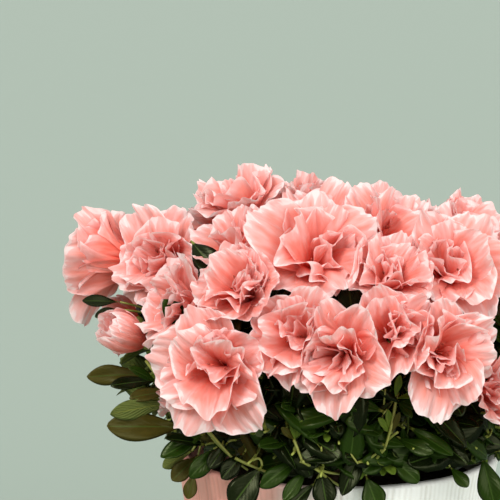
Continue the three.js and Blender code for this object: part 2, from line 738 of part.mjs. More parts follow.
// One mass: a stem from the bough's tip, a core, a twig to each blossom and shoot, petals and leaves
function makeMass({ name, mass, middle, path, tangent }, seed) {
  const random = stream(seed);
  const own = blooms.filter((bloom) => bloom.mass === mass);
  const root = path[path.length - 1].clone().addScaledVector(tangent, GAP);
  const bend = root.clone().addScaledVector(tangent, STEM_ROOT);
  const fork = bend.clone().addScaledVector(middle, STEM_LENGTH - STEM_ROOT);
  const centre = fork.clone().addScaledVector(middle, CORE_ADVANCE);
  if (mass < LOW_MASSES) centre.z -= CORE_DROP;
  const core = makeCore(centre, middle, mass);
  const petals = own.map((bloom, i) => makeBloom(bloom, i + mass, random));
  const placed = [...petals, core].map(boxed);
  const starts = [fork, fork.clone().lerp(root, 0.3)];

  // The stem and a twig to each blossom, with a pair of leaves under it
  const wood = [limb([root, bend, fork], STEM_RADII, STEM_SIDES)];
  const ways = own.map((bloom) => {
    const way = growTwig(bloom.calyx, bloom.axis, starts, TWIG_RADII, [], mass);
    if (!way) throw new Error(`no way to a blossom of ${name}`);
    starts.push(way.path[1]);
    wood.push(way.twig);
    return way;
  });
  const leafy = ways.flatMap((way) => {
    const { leaves } = setLeaves(way.path, BLOOM_LEAVES, random, mass, placed);
    return leaves.map(({ points }) => solidOf(points, LEAF_TRIANGLES));
  });

  // Shoots, each kept only if its whorl has leaves enough and cuts into nothing else
  for (const { end, axis } of shootEnds()) {
    if (!inSpace(end, mass, SHOOT_ROOM)) continue;
    starts.sort((a, b) => a.distanceTo(end) - b.distanceTo(end));
    const obstacles = placed.map(({ solid }) => solid).filter((solid) => solid !== core);
    const way = growTwig(end, axis, starts, SHOOT_RADII, obstacles, mass);
    if (!way) continue;
    const already = placed.length;
    const whorl = setLeaves(way.path, SHOOT_LEAVES, random, mass, placed);
    const whole = whorl.leaves.length >= FEWEST_LEAVES ? rosette(whorl) : null;
    const cuts = (solid) => solid.intersect(whole).volume() > TOUCH_VOLUME;
    if (whole && ![core, ...wood, ...leafy].some(cuts)) {
      wood.push(way.twig);
      leafy.push(whole);
    } else placed.length = already;
  }

  // The largest closed piece is the mass, and loose scraps and sealed hollows go
  const pieces = wasm.Manifold.union([core, ...wood, ...leafy, ...petals]).decompose();
  return pieces.sort((a, b) => b.volume() - a.volume())[0];
}

// A mass grown from the first of its seeds that gives a sound solid
function makeSoundMass(bough) {
  for (let i = 0; i < SEED_TRIES; i++) {
    const solid = makeMass(bough, FIRST_SEED + SEED_STEP * bough.mass + RETRY_STEP * i);
    if (ROUNDINGS.every((step) => isSound(solid, step))) return solid;
  }
  throw new Error(`no seed gives a sound mass_${bough.name}`);
}

// The pot: a tapered wall with a rounded rim, closed by its floor
function makePot() {
  const inner = (z) => potRadius(z) - POT_WALL;
  const rim = POT_HEIGHT;
  const profile = [
    [0, 0],
    [POT_FOOT_RADIUS - POT_EDGE, 0],
    [potRadius(POT_EDGE), POT_EDGE],
    [potRadius(rim / 2), rim / 2],
    [potRadius(rim - POT_EDGE), rim - POT_EDGE],
    [potRadius(rim) - POT_EDGE, rim],
    [inner(rim) + POT_EDGE, rim],
    [inner(rim - POT_EDGE), rim - POT_EDGE],
    [inner(POT_FLOOR), POT_FLOOR],
    [0, POT_FLOOR],
  ];
  return solidFrom(lathe(profile));
}

// A closed profile of [radius, height] turned about Z
function lathe(profile) {
  const geometry = new THREE.LatheGeometry(
    profile.map(([radius, z]) => new THREE.Vector2(radius, z)),
    POT_SIDES,
  );
  return geometry.rotateX(Math.PI / 2);
}

// The compost fills the pot to a little below its rim, a hair clear of wall and floor
function makeCompost() {
  const inner = (z) => potRadius(z) - POT_WALL - COMPOST_GAP;
  const foot = POT_FLOOR + GAP;
  return solidFrom(
    lathe([
      [0, foot],
      [inner(foot), foot],
      [inner(COMPOST_TOP), COMPOST_TOP],
      [0, COMPOST_TOP],
    ]),
  );
}

const finish = (color, roughness) => new THREE.MeshStandardMaterial({ color, roughness, metalness: 0 });
const GLAZE = finish("#e6dfd8", 0.35);
const COMPOST = finish("#2c2019", 0.95);
const BARK = finish("#5b4632", 0.85);
const BLOSSOM = finish("#f08f80", 0.6);

const shrub = new THREE.Group();
function add(name, solid, material) {
  const mesh = new THREE.Mesh(geometryOf(solid), material);
  mesh.name = name;
  shrub.add(mesh);
}

add("pot", makePot(), GLAZE);
add("compost", makeCompost(), COMPOST);
add("trunk", makeTrunk(), BARK);
const grownTrunk = makeTrunk(GAP);
for (const bough of boughs) {
  const radii = taper(BOUGH_RADIUS, BOUGH_TIP_RADIUS, bough.path.length);
  add(`bough_${bough.name}`, limb(bough.path, radii, BOUGH_SIDES).subtract(grownTrunk), BARK);
}
for (const bough of boughs) add(`mass_${bough.name}`, makeSoundMass(bough), BLOSSOM);

export default shrub;
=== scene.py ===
import json
import math

import bpy
import numpy as np
from bpy.props import FloatProperty, FloatVectorProperty, IntProperty, PointerProperty
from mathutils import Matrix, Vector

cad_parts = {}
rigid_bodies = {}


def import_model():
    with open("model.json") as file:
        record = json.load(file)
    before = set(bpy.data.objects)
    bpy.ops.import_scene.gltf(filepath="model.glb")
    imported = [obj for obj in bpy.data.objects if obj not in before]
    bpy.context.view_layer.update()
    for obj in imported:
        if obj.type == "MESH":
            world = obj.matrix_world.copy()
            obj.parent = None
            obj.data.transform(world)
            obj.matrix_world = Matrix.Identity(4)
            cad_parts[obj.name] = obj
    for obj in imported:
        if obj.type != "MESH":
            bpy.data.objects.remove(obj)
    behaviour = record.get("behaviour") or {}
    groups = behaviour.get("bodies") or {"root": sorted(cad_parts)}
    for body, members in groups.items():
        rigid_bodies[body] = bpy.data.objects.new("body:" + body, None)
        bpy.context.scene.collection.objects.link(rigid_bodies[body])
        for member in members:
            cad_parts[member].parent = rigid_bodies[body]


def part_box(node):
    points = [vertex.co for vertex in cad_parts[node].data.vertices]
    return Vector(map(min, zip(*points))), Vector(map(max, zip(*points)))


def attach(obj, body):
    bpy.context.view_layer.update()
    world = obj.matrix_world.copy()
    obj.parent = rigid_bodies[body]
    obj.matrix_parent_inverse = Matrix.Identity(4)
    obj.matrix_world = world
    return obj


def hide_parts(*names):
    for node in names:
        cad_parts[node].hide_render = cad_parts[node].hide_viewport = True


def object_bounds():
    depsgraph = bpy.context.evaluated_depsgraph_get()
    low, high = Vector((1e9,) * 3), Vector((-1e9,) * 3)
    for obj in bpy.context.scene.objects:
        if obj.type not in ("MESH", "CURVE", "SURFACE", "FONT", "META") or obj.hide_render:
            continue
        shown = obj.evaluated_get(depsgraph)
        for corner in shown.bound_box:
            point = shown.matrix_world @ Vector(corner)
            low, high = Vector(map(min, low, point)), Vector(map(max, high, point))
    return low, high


bl_info = {
    "name": "Potted azalea shrub",
    "version": (1, 0, 0),
    "blender": (4, 5, 0),
    "location": "View3D > Sidebar > Azalea",
    "description": "Blossom, leaves, twigs, bark, compost and glazed pot of a flowering azalea",
    "category": "Add Mesh",
}

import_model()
CAD_BOX = [list(corner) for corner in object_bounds()]

MM = 0.001  # a millimetre in metres
UP = np.array([0.0, 0.0, 1.0])
GAP = 0.3  # between one solid and the next
FAR = 1000  # farther than anything in the crown
PATTERN = "OFBake"  # the layer that holds the points' places on the pattern
TILES = 4  # mottlings of a petal that lie side by side on the pattern
MOST_TRIANGLES = 190000  # in one piece
FINE_BUMP = 0.4 * MM  # height of the finest relief
LEAF_GLOSS = "#e4ecb4"  # of the light that a leaf throws back

# Pot, compost, trunk and boughs, as in the solids
POT_RIM_RADIUS, _, POT_HEIGHT = (1000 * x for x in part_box("pot")[1])
POT_FOOT_RADIUS = 74
POT_WALL = 7
POT_FLOOR = 9
EDGE_ROUND = 2.5
RIB_COLUMNS = 6
COMPOST_TOP = 1000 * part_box("compost")[1][2]
CRUMB_HEIGHT = 2.2
FORK_HEIGHT = 190
FORK = FORK_HEIGHT * UP
TRUNK_RADIUS = 8.5
TRUNK_KEYS = [  # lean to the right, height and radius
    (0.3, COMPOST_TOP + GAP, 13),
    (0.3, COMPOST_TOP + 6, TRUNK_RADIUS * 1.12),
    (0.8, COMPOST_TOP + 18, TRUNK_RADIUS),
    (0.4, FORK_HEIGHT - 10, TRUNK_RADIUS * 0.94),
    (0, FORK_HEIGHT + 2, 6.5),
]
BOUGH_RADIUS = 2.7
BOUGH_TIP_RADIUS = 1.9
BOUGH_REACH = 58
BOUGH_RISE = 0.3
UPPER_BOUGH_DROP = 6
LOW_BOUGH_DROPS = [16, 25]
STEM_LENGTH = 22
STEM_ROOT = 4
TWIG_BEND = 0.66
TWIG_RUN = 16  # how far before its end a twig points along its blossom's axis
TWIG_SINK = 4
LOW_NAMES = ["front", "front_right", "right", "back_right", "back_left", "left", "front_left"]
TOP_NAMES = ["top_front", "top_right", "top_back", "top_left"]
MASS_NAMES = LOW_NAMES + TOP_NAMES
MASS_NODES = ["mass_" + name for name in MASS_NAMES]
LOW_MASSES = len(LOW_NAMES)
MASS_AZIMUTHS = [360 / LOW_MASSES * i for i in range(LOW_MASSES)] + [0, 90, 180, 270]
MASS_ELEVATIONS = [24] * LOW_MASSES + [64] * len(TOP_NAMES)

# Crown: the blossoms' hearts lie on a flattened dome round the fork, as in the solids
CROWN_SPREAD = 140
CROWN_RISE = 133
CROWN_SQUARENESS = 2.6
SPIRAL_PLACES = 700
GOLDEN_ANGLE = 137.508
GOLDEN_SHARE = 0.618
LOWEST_BLOOM = 15
BLOOM_SPACING = 41
BLOOM_WIDTHS = (64, 74)
BLOOM_OPENNESS = (0.75, 1)
BLOOM_TURN = 24
BLOOM_LIFT = (0.8, 8)  # a blossom faces a share of its place's elevation, and this many degrees more
LATE_SIDE = (-115, -72)
LATE_ELEVATION = 24
LATE_WIDTH = 42
LATE_OPENNESS = 0.3
BARE_PLACES = [(*LATE_SIDE, 0, 19), (42, 60, 20, 33)]  # azimuths and elevations without blossom
CALYX_DEPTH = 0.27
BLOSSOM_DEPTH = 26
STAMENS = 5
OUTER_PETAL = 0.64
PETALS = 5
BUD = 0.4  # a blossom that is less open is a bud
FIRST_ANGLE = math.radians(14)
LAST_ANGLE = math.radians(94)
THROAT_ANGLE = 0.1

# The whole crown has settled by a share. Its top has sunk further, fading out at the left, the right and the
# front and downwards, and most of all in a dip
BLOOM_SETTLE = 0.95
TOP_SINK = 8
SINK_LEFT, SINK_RIGHT, SINK_FRONT, SINK_HEIGHT = (-42, -8), (100, 70), (-108, -46), (272, 298)
DIP_MIDDLE = (53, 20)
DIP_WIDTHS = (22, 60)
DIP_DEPTH = 13

# How the blossoms press on one another, and the sites below them that hold leaves only
SITES_PER_MASS = 3
LOW_SITE_ELEVATION = -14
LOW_SITE_SIZE = 30
NEIGHBOUR_ANGLE = 0.85
PRESS_START = 0.7
PETAL_OVERLAP = 1.9
BOX_MARGIN = 8

# Leafy shoots: a skirt over the pot's rim, in rings of [radius, height over the fork, elevation], a band
# below the blossom, and shoots inside the crown
SHOOTS_IN_SKIRT = 64
SKIRT_RINGS = np.array([[104.0, -8.0, -14.0], [112.0, 12.0, 4.0]])
SHOOTS_IN_BAND = 130
BAND_ELEVATIONS = (20, -14)
BAND_DEPTH = 0.86
BAND_START = 60
INNER_SHOOTS = 260
INNER_DEPTHS = (0.5, 0.74)
INNER_SINES = (0.99, -0.1)  # of the elevations, from the first shoot to the last
AXIS_SCATTER = 0.2
MASS_MARGIN = 1.5
SHOOT_RUN = 12
SHOOT_CLEARANCE = 3
SIDE_SHOOT_PLACES = (0.55, 0.8)
SIDE_SHOOT_LENGTHS = (14, 26)
LEAF_THICKNESS = 0.45
LEAFLESS = 0.38  # share of the sprays that are left out
YOUNG_SHARE = 0.4  # share of the shoots that end in young leaves
DROOPS = (0.08, 0.34)
SIDE_LEAF_SHARE = 0.8  # a side shoot's leaves compared with the others'
LEAF_CLEARANCE = 0.8
BLOSSOM_CLEARANCE = 1.2
OLIVE_LEFT = (-40, -100)
OLIVE_HEIGHT = (290, 230)
OLIVE_SHARES = (0.02, 0.5)  # everywhere, and as much more low on the left
# share of the outermost sprays that are green; the rest, and more of those further in, take the dark tone,
# which is painted shade
GREEN_SHARE = 0.8

# The foliage's lower hem: a cone that rises outwards from the pot's rim, but for sprays that hang over it
HEM_RADIUS = 105
HEM_HEIGHT = 168
HEM_SLOPE = 0.55
HEM_DROP = 30
HEM_WIDTH = 3.5
HANGING_AZIMUTHS = np.array([-98.0, 62.0, 80.0, 97.0, 118.0, 140.0, 163.0, 185.0, 207.0, 228.0, 246.0])

# Where only the leaves placed one by one stand out: low on the left, and low and farther out at the front
OPEN_HEIGHT = 228
OPEN_SIDE = (-104, -36)
OPEN_SIDE_RADIUS = 108
OPEN_FRONT = 52
OPEN_FRONT_RADIUS = 124

# The picture's view: what it looks at, from how far and how high, and its focal length in mm and in pixels
VIEW_TARGET = np.array([-53.0, 0.0, 286.5])
VIEW_DISTANCE = 1250
VIEW_ELEVATION = math.radians(8)
VIEW_BACK = np.array([0.0, -math.cos(VIEW_ELEVATION), math.sin(VIEW_ELEVATION)])
VIEW_UP = np.array([0.0, math.sin(VIEW_ELEVATION), math.cos(VIEW_ELEVATION)])
VIEW_LENS = 150
SENSOR_WIDTH = 36
PICTURE_WIDTH = 500
VIEW_PIXELS = PICTURE_WIDTH / SENSOR_WIDTH * VIEW_LENS

# The leaves that stand out at the front: where root and tip are seen, in the picture's 500 by 500 points
# from its upper left corner, how far root and tip lie before the pot's axis in mm, their width to length, how
# far they face the viewer (1) or upwards (0), or show their underside (-1), and their colour, of which
# dark is painted shade for leaves deep in shadow
FRONT_LEAVES = [
    [150, 374, 87, 375, 45, 52, 0.3, 0.7, "olive"], [158, 380, 112, 383, 48, 60, 0.34, 0.6, "dark"],
    [178, 390, 130, 395, 60, 70, 0.36, 0.5, "olive"], [176, 402, 108, 413, 62, 74, 0.27, -0.9, "green"],
    [185, 427, 109, 426, 62, 80, 0.36, 0.9, "olive"], [202, 417, 172, 417, 80, 90, 0.5, 0.8, "green"],
    [206, 433, 161, 456, 70, 82, 0.36, 0.7, "green"], [192, 451, 161, 467, 60, 70, 0.34, -0.8, "green"],
    [198, 455, 172, 480, 66, 74, 0.5, 0.8, "olive"], [222, 446, 190, 477, 80, 90, 0.42, 0.9, "green"],
    [194, 472, 188, 499, 70, 76, 0.5, 0.9, "olive"], [228, 442, 209, 468, 86, 94, 0.5, 0.8, "dark"],
    [262, 466, 232, 506, 104, 114, 0.62, 0.9, "dark"], [300, 458, 261, 486, 100, 113, 0.36, 0.8, "green"],
    [307, 469, 284, 500, 102, 113, 0.36, 0.8, "green"], [315, 483, 288, 508, 105, 114, 0.4, 0.8, "dark"],
    [320, 468, 327, 506, 104, 114, 0.62, 0.9, "dark"], [293, 440, 261, 443, 100, 120, 0.36, 0.6, "green"],
    [297, 440, 335, 446, 104, 120, 0.32, 0.6, "green"], [367, 434, 342, 495, 104, 117, 0.3, 0.7, "dark"],
    [366, 476, 378, 508, 104, 113, 0.7, 0.9, "green"], [387, 451, 364, 471, 104, 116, 0.58, 0.8, "green"],
    [388, 455, 419, 481, 104, 115, 0.44, 0.7, "green"], [396, 438, 432, 451, 106, 120, 0.4, 0.7, "green"],
    [409, 427, 453, 453, 106, 120, 0.34, 0.6, "green"], [414, 392, 467, 444, 100, 120, 0.28, 0.6, "dark"],
    [450, 467, 468, 486, 96, 105, 0.5, 0.8, "green"], [482, 456, 495, 505, 88, 100, 0.5, 0.9, "green"],
    [446, 386, 462, 414, 110, 124, 0.56, 0.6, "dark"], [191, 241, 215, 270, 62, 78, 0.6, 0.8, "dark"],
    [190, 334, 167, 301, 70, 84, 0.45, 0.7, "green"], [120, 302, 83, 299, 20, 28, 0.32, 0.6, "dark"],
    [124, 310, 96, 315, 28, 40, 0.4, 0.6, "dark"], [205, 445, 168, 436, 70, 84, 0.4, 0.5, "dark"],
    [245, 452, 222, 478, 92, 102, 0.5, 0.8, "dark"], [345, 455, 352, 480, 100, 112, 0.5, 0.7, "dark"],
    [295, 441, 292, 419, 112, 114, 0.3, 0.8, "young"], [296, 441, 302, 421, 112, 116, 0.28, 0.7, "young"],
    [294, 440, 283, 428, 112, 118, 0.34, 0.7, "olive"], [391, 433, 388, 410, 117, 119, 0.3, 0.8, "young"],
    [392, 433, 399, 413, 117, 121, 0.26, 0.7, "olive"], [390, 434, 380, 418, 117, 121, 0.32, 0.6, "young"],
    [396, 399, 417, 392, 116, 124, 0.3, 0.6, "young"], [397, 400, 421, 406, 116, 126, 0.36, 0.6, "green"],
    [397, 401, 412, 416, 116, 126, 0.34, 0.7, "green"], [395, 398, 400, 376, 116, 120, 0.3, 0.7, "young"],
    [394, 400, 366, 424, 116, 118, 0.34, 0.5, "dark"], [393, 398, 360, 396, 116, 112, 0.4, 0.4, "dark"],
    [386, 446, 352, 430, 118, 114, 0.4, 0.5, "dark"], [330, 415, 290, 452, 100, 110, 0.34, 0.5, "dark"],
    [345, 400, 318, 432, 100, 112, 0.42, 0.6, "dark"], [160, 384, 131, 366, 74, 84, 0.36, 0.5, "green"],
    [300, 462, 336, 456, 114, 122, 0.3, 0.5, "dark"], [437, 440, 468, 462, 102, 116, 0.4, 0.6, "dark"],
    [440, 420, 478, 424, 100, 114, 0.4, 0.5, "dark"],
]

# The stems that show between them: start, middle and end in the picture, and how far start and end lie
# before the pot's axis in mm
FRONT_STEMS = [
    [410, 362, 403, 384, 396, 399, 98, 116], [396, 399, 393, 425, 385, 448, 116, 118],
    [385, 448, 377, 458, 366, 472, 118, 106], [372, 462, 384, 440, 398, 432, 104, 118],
    [294, 440, 298, 450, 302, 461, 112, 115], [302, 461, 318, 473, 343, 474, 115, 104],
    [318, 470, 326, 478, 340, 486, 112, 98], [146, 361, 156, 376, 170, 388, 58, 74],
    [170, 388, 185, 402, 197, 417, 74, 86], [176, 400, 195, 418, 212, 437, 64, 88],
    [197, 417, 214, 438, 236, 462, 86, 94], [212, 437, 226, 454, 248, 470, 88, 92],
    [235, 458, 250, 466, 270, 473, 98, 96],
]

# The blossoms that face the front:
# [azimuth, elevation, share of the dome's reach, width, faces azimuth, faces elevation, openness]
FRONT_BLOOMS = [
    [-91, 35, 1.13, 86, -114, 6, 0.82], [-80, 43, 1.0, 74, -38, 30, 0.95],
    [-88, 66, 1.03, 72, -60, 62, 0.85], [-25, 77, 1.0, 66, -10, 68, 0.8], [28, 69, 1.02, 74, 30, 62, 0.9],
    [-13, 52.8, 1.0, 88, -8, 42, 0.95], [-47, 54, 0.98, 68, -40, 62, 0.9],
    [14, 45.8, 0.97, 68, 10, 52, 0.8], [36, 44.8, 1.03, 80, 18, 34, 1.0], [92, 56, 1.0, 70, 66, 44, 0.9],
    [-52, 35, 0.96, 70, -62, 30, 0.85], [-31, 39.5, 1.0, 68, -26, 34, 0.9],
    [-31, 20.3, 1.01, 80, -14, 10, 1.0], [-14, 29.3, 0.97, 70, -30, 20, 0.9],
    [-2, 25.2, 1.02, 72, -22, 12, 0.85], [10.5, 29.2, 1.0, 66, -4, 24, 0.85],
    [22.5, 24.3, 1.03, 68, 20, 12, 1.0], [-65, 23.5, 1.03, 54, -72, 32, 0.32],
    [-57, 11, 0.8, 36, -95, 8, 0.5], [40, 14, 0.93, 60, 50, 10, 0.8],
]


def linear(code):
    """An sRGB hex colour as linear red, green, blue and alpha."""
    parts = [int(code[i : i + 2], 16) / 255 for i in (1, 3, 5)]
    return (*[c / 12.92 if c <= 0.04045 else ((c + 0.055) / 1.055) ** 2.4 for c in parts], 1.0)


def colour_prop(name, code, about):
    """A colour property whose default is an sRGB hex colour."""
    return FloatVectorProperty(
        name=name, description=about, subtype="COLOR", size=4, min=0, max=1, default=linear(code)
    )


def size_prop(name, default, about, **settings):
    """A number property."""
    return FloatProperty(name=name, description=about, default=default, **settings)


def towards(azimuth, elevation):
    """Unit vectors towards azimuths and elevations in degrees."""
    a, e = np.radians(azimuth), np.radians(elevation)
    return np.stack(np.broadcast_arrays(np.sin(a) * np.cos(e), -np.cos(a) * np.cos(e), np.sin(e)), axis=-1)


def azimuths(points):
    """The azimuth in degrees of each point round the pot's axis."""
    return np.degrees(np.arctan2(points[..., 0], -points[..., 1]))


def unit(vectors):
    """Vectors at length one."""
    return vectors / np.maximum(np.linalg.norm(vectors, axis=-1, keepdims=True), 1e-9)


def mix(low, high, share):
    """A value between two limits."""
    return low + (high - low) * share


def ramp(value, start, end):
    """How far values have come from a start to an end, from 0 to 1."""
    return np.clip((value - start) / (end - start), 0, 1)


def dome_reach(direction):
    """How far the dome lies from the fork: a superellipse of the spread across and the rise."""
    across = np.hypot(direction[..., 0], direction[..., 1]) / CROWN_SPREAD
    rise = np.abs(direction[..., 2]) / CROWN_RISE
    return (across**CROWN_SQUARENESS + rise**CROWN_SQUARENESS) ** (-1 / CROWN_SQUARENESS)


def square_to(axis):
    """Two unit vectors square to each axis and to each other."""
    steep = np.abs(axis[..., 2:3]) > 0.9
    side = unit(np.cross(np.where(steep, [0.0, 1.0, 0.0], UP), axis))
    return side, np.cross(axis, side)


def across_axis(vectors, axis):
    """The part of each vector that is square to its axis, at length one."""
    return unit(vectors - axis * np.sum(vectors * axis, axis=-1, keepdims=True))


def pot_radius(z):
    """The pot's outer radius at a height."""
    return POT_FOOT_RADIUS + (POT_RIM_RADIUS - POT_FOOT_RADIUS) * z / POT_HEIGHT


def clear_of_pot(points, margin):
    """Whether points are a margin clear of the pot and the compost."""
    radius, z = np.hypot(points[..., 0], points[..., 1]), points[..., 2]
    outside = (radius > pot_radius(z) + margin) & (z > 0)
    inside = (radius < POT_RIM_RADIUS - 2 * POT_WALL - margin) & (z > COMPOST_TOP + margin)
    return (z > POT_HEIGHT + margin) | outside | inside


def seen(places, before):
    """Where points of the picture lie that are some way before the pot's axis: each is the ray through it
    from the camera, up to that depth. The view is that of the stage's camera at its default settings."""
    eye = VIEW_TARGET + VIEW_DISTANCE * VIEW_BACK
    right, down = (places - PICTURE_WIDTH / 2).T / VIEW_PIXELS
    ray = -down[:, None] * VIEW_UP - VIEW_BACK
    ray[:, 0] = right
    return eye + ray * ((-before - eye[1]) / ray[:, 1])[:, None]


def above_hem(points):
    """Whether points lie above the hem: a cone that rises outwards from the pot's rim and dips at each
    azimuth where a spray hangs, each dip a bell curve of the azimuth."""
    level = HEM_HEIGHT + HEM_SLOPE * np.maximum(np.hypot(points[..., 0], points[..., 1]) - HEM_RADIUS, 0)
    apart = (azimuths(points)[..., None] - HANGING_AZIMUTHS + 180) % 360 - 180
    return points[..., 2] > level - HEM_DROP * np.exp(-((apart / HEM_WIDTH) ** 2)).sum(axis=-1)


def in_open_side(points):
    """Whether points lie low on the left, or low and far out at the front, where only the leaves that were
    placed one by one stand out."""
    azimuth = azimuths(points)
    side = (azimuth > OPEN_SIDE[0]) & (azimuth < OPEN_SIDE[1])
    far = np.hypot(points[..., 0], points[..., 1]) > np.where(side, OPEN_SIDE_RADIUS, OPEN_FRONT_RADIUS)
    return (side | (np.abs(azimuth) < OPEN_FRONT)) & far & (points[..., 2] < OPEN_HEIGHT)


def blossom_plan():
    """The heart, facing, radius and openness of each blossom: those of the front, then a spiral that goes
    down the dome by a golden angle a step and skips places too near a blossom that is already there. Low on
    the left they are still in bud, and places where only leaves are seen stay bare."""
    rows = np.array(FRONT_BLOOMS, dtype=float)
    direction = towards(rows[:, 0], rows[:, 1])
    hearts = list(FORK + direction * (rows[:, 2] * dome_reach(direction))[:, None])
    axes, radii, openness = list(towards(rows[:, 4], rows[:, 5])), list(rows[:, 3] / 2), list(rows[:, 6])
    low = math.sin(math.radians(LOWEST_BLOOM))
    for i in range(SPIRAL_PLACES):
        elevation = math.degrees(math.asin(1 - (1 - low) * (i + 0.5) / SPIRAL_PLACES))
        way = towards(GOLDEN_ANGLE * i, elevation)
        heart = FORK + way * dome_reach(way)
        azimuth = (GOLDEN_ANGLE * i + 180) % 360 - 180
        bare = any(a < azimuth < b and c < elevation < d for a, b, c, d in BARE_PLACES)
        if bare or np.min(np.linalg.norm(np.array(hearts) - heart, axis=1)) < BLOOM_SPACING:
            continue
        size = i * GOLDEN_SHARE % 1
        late = LATE_SIDE[0] < azimuth < LATE_SIDE[1] and elevation < LATE_ELEVATION
        hearts.append(heart)
        faces = GOLDEN_ANGLE * i + BLOOM_TURN * (size - 0.5)
        axes.append(towards(faces, elevation * BLOOM_LIFT[0] + BLOOM_LIFT[1]))
        radii.append((LATE_WIDTH if late else mix(*BLOOM_WIDTHS, size)) / 2)
        openness.append(LATE_OPENNESS if late else mix(*BLOOM_OPENNESS, size))
    return np.array(hearts), np.array(axes), np.array(radii), np.array(openness)


def settled(hearts):
    """Hearts where they have settled: by a share of their height over the fork, and the top by up to its
    sink and a dip more, a bell curve of the way from the dip's middle."""
    hearts = FORK + (hearts - FORK) * [1, 1, BLOOM_SETTLE]
    x, y, z = hearts.T
    evenly = ramp(x, *SINK_LEFT) * ramp(x, *SINK_RIGHT) * ramp(y, *SINK_FRONT)
    way = ((x - DIP_MIDDLE[0]) / DIP_WIDTHS[0]) ** 2 + ((y - DIP_MIDDLE[1]) / DIP_WIDTHS[1]) ** 2
    hearts[:, 2] -= (TOP_SINK * evenly + DIP_DEPTH * np.exp(-way)) * ramp(z, *SINK_HEIGHT)
    return hearts


HEART, AXIS, RADIUS, OPENNESS = blossom_plan()
HEART = settled(HEART)
BLOOMS = len(HEART)
DIRECTION = unit(HEART - FORK)
MASS = np.argmax(DIRECTION @ towards(MASS_AZIMUTHS, MASS_ELEVATIONS).T, axis=1)
CALYX = HEART - AXIS * (2 * CALYX_DEPTH * RADIUS)[:, None]
ROLL = np.array([np.sum(MASS[:i] == MASS[i]) + MASS[i] for i in range(BLOOMS)], dtype=float)

# The sites that share out the crown: the blossoms, and a ring of places below them
LOW_SITES = SITES_PER_MASS * LOW_MASSES
LOW_RING = towards(360 * (np.arange(LOW_SITES) - (SITES_PER_MASS - 1) / 2) / LOW_SITES, LOW_SITE_ELEVATION)
SITE_DIRECTION = np.vstack([DIRECTION, LOW_RING])
SITE_REACH = np.concatenate([np.linalg.norm(HEART - FORK, axis=1), np.full(LOW_SITES, CROWN_SPREAD)])
SITE_SIZE = np.concatenate([RADIUS, np.full(LOW_SITES, LOW_SITE_SIZE)])
SITE_MASS = np.concatenate([MASS, np.arange(LOW_SITES) // SITES_PER_MASS])


def parting_planes():
    """The planes through the fork that part each site from each other one: a pair shares the angle
    between them by the squares of their sizes."""
    cosines = np.clip(SITE_DIRECTION @ SITE_DIRECTION.T, -1, 1)
    angle = np.arccos(cosines)
    squares = SITE_SIZE**2
    share = angle * squares[:, None] / (squares[:, None] + squares)
    sideways = unit(SITE_DIRECTION - SITE_DIRECTION[:, None] * cosines[..., None])
    normal = sideways * np.cos(share)[..., None] - SITE_DIRECTION[:, None] * np.sin(share)[..., None]
    return angle, normal, SITE_REACH[:, None] * np.sin(share)


SITE_ANGLE, SITE_NORMAL, SITE_LIMIT = parting_planes()


def mass_of(points, margin):
    """The mass in whose space each point lies a margin clear of every other, or -1."""
    offset = points - FORK
    found = np.full(len(points), -1)
    for site in range(len(SITE_MASS)):
        others = SITE_MASS != SITE_MASS[site]
        inside = np.all(offset @ SITE_NORMAL[site, others].T < -margin, axis=1)
        found[inside] = SITE_MASS[site]
    return found


def pressed(points, bloom):
    """Petal points pressed back by their blossom's neighbours. points is (petals, points, 3), bloom the
    blossom of each petal. Past a share of the way to the plane between two blossoms, a point is held back
    ever more, and it never goes far past the plane, so that thin margins lie over each other there."""
    neighbours = (SITE_ANGLE[:BLOOMS] < NEIGHBOUR_ANGLE) & (SITE_ANGLE[:BLOOMS] > 1e-6)
    neighbours[:, BLOOMS:] &= SITE_MASS[BLOOMS:] != MASS[:, None]
    order = np.argsort(~neighbours, axis=1, kind="stable")[:, : neighbours.sum(axis=1).max()]
    rows = np.arange(BLOOMS)[:, None]
    known = neighbours[rows, order]
    normal = np.where(known[..., None], SITE_NORMAL[rows, order], 0)[bloom]
    end = np.where(known, PETAL_OVERLAP * SITE_LIMIT[rows, order], FAR)[bloom]
    offset = points - HEART[bloom][:, None]
    for _ in range(2):
        for k in range(end.shape[1]):
            last = end[:, k, None]
            start = PRESS_START / PETAL_OVERLAP * last
            reach = np.einsum("pij,pj->pi", offset, normal[:, k])
            kept = start + (last - start) * (1 - np.exp(-np.maximum(reach - start, 0) / (last - start)))
            offset += np.where(reach > start, kept - reach, 0)[..., None] * normal[:, None, k]
    return offset + HEART[bloom][:, None]


def within_box(points):
    """Points held inside the solids' box: past a margin before one of its faces, the way on to the face is
    shortened ever more, by an exponential, so that none reaches it."""
    for face, way in zip(1000 * np.array(CAD_BOX), (-1, 1)):
        past = np.maximum((points - face) * way + BOX_MARGIN, 0)
        points = np.where(past > 0, face + way * BOX_MARGIN * -np.exp(-past / BOX_MARGIN), points)
    return points


def bezier(start, bend, end, steps):
    """Points along quadratic curves: (curves, steps + 1, 3)."""
    t = np.linspace(0, 1, steps + 1)[:, None]
    return start[:, None] * (1 - t) ** 2 + bend[:, None] * 2 * t * (1 - t) + end[:, None] * t**2


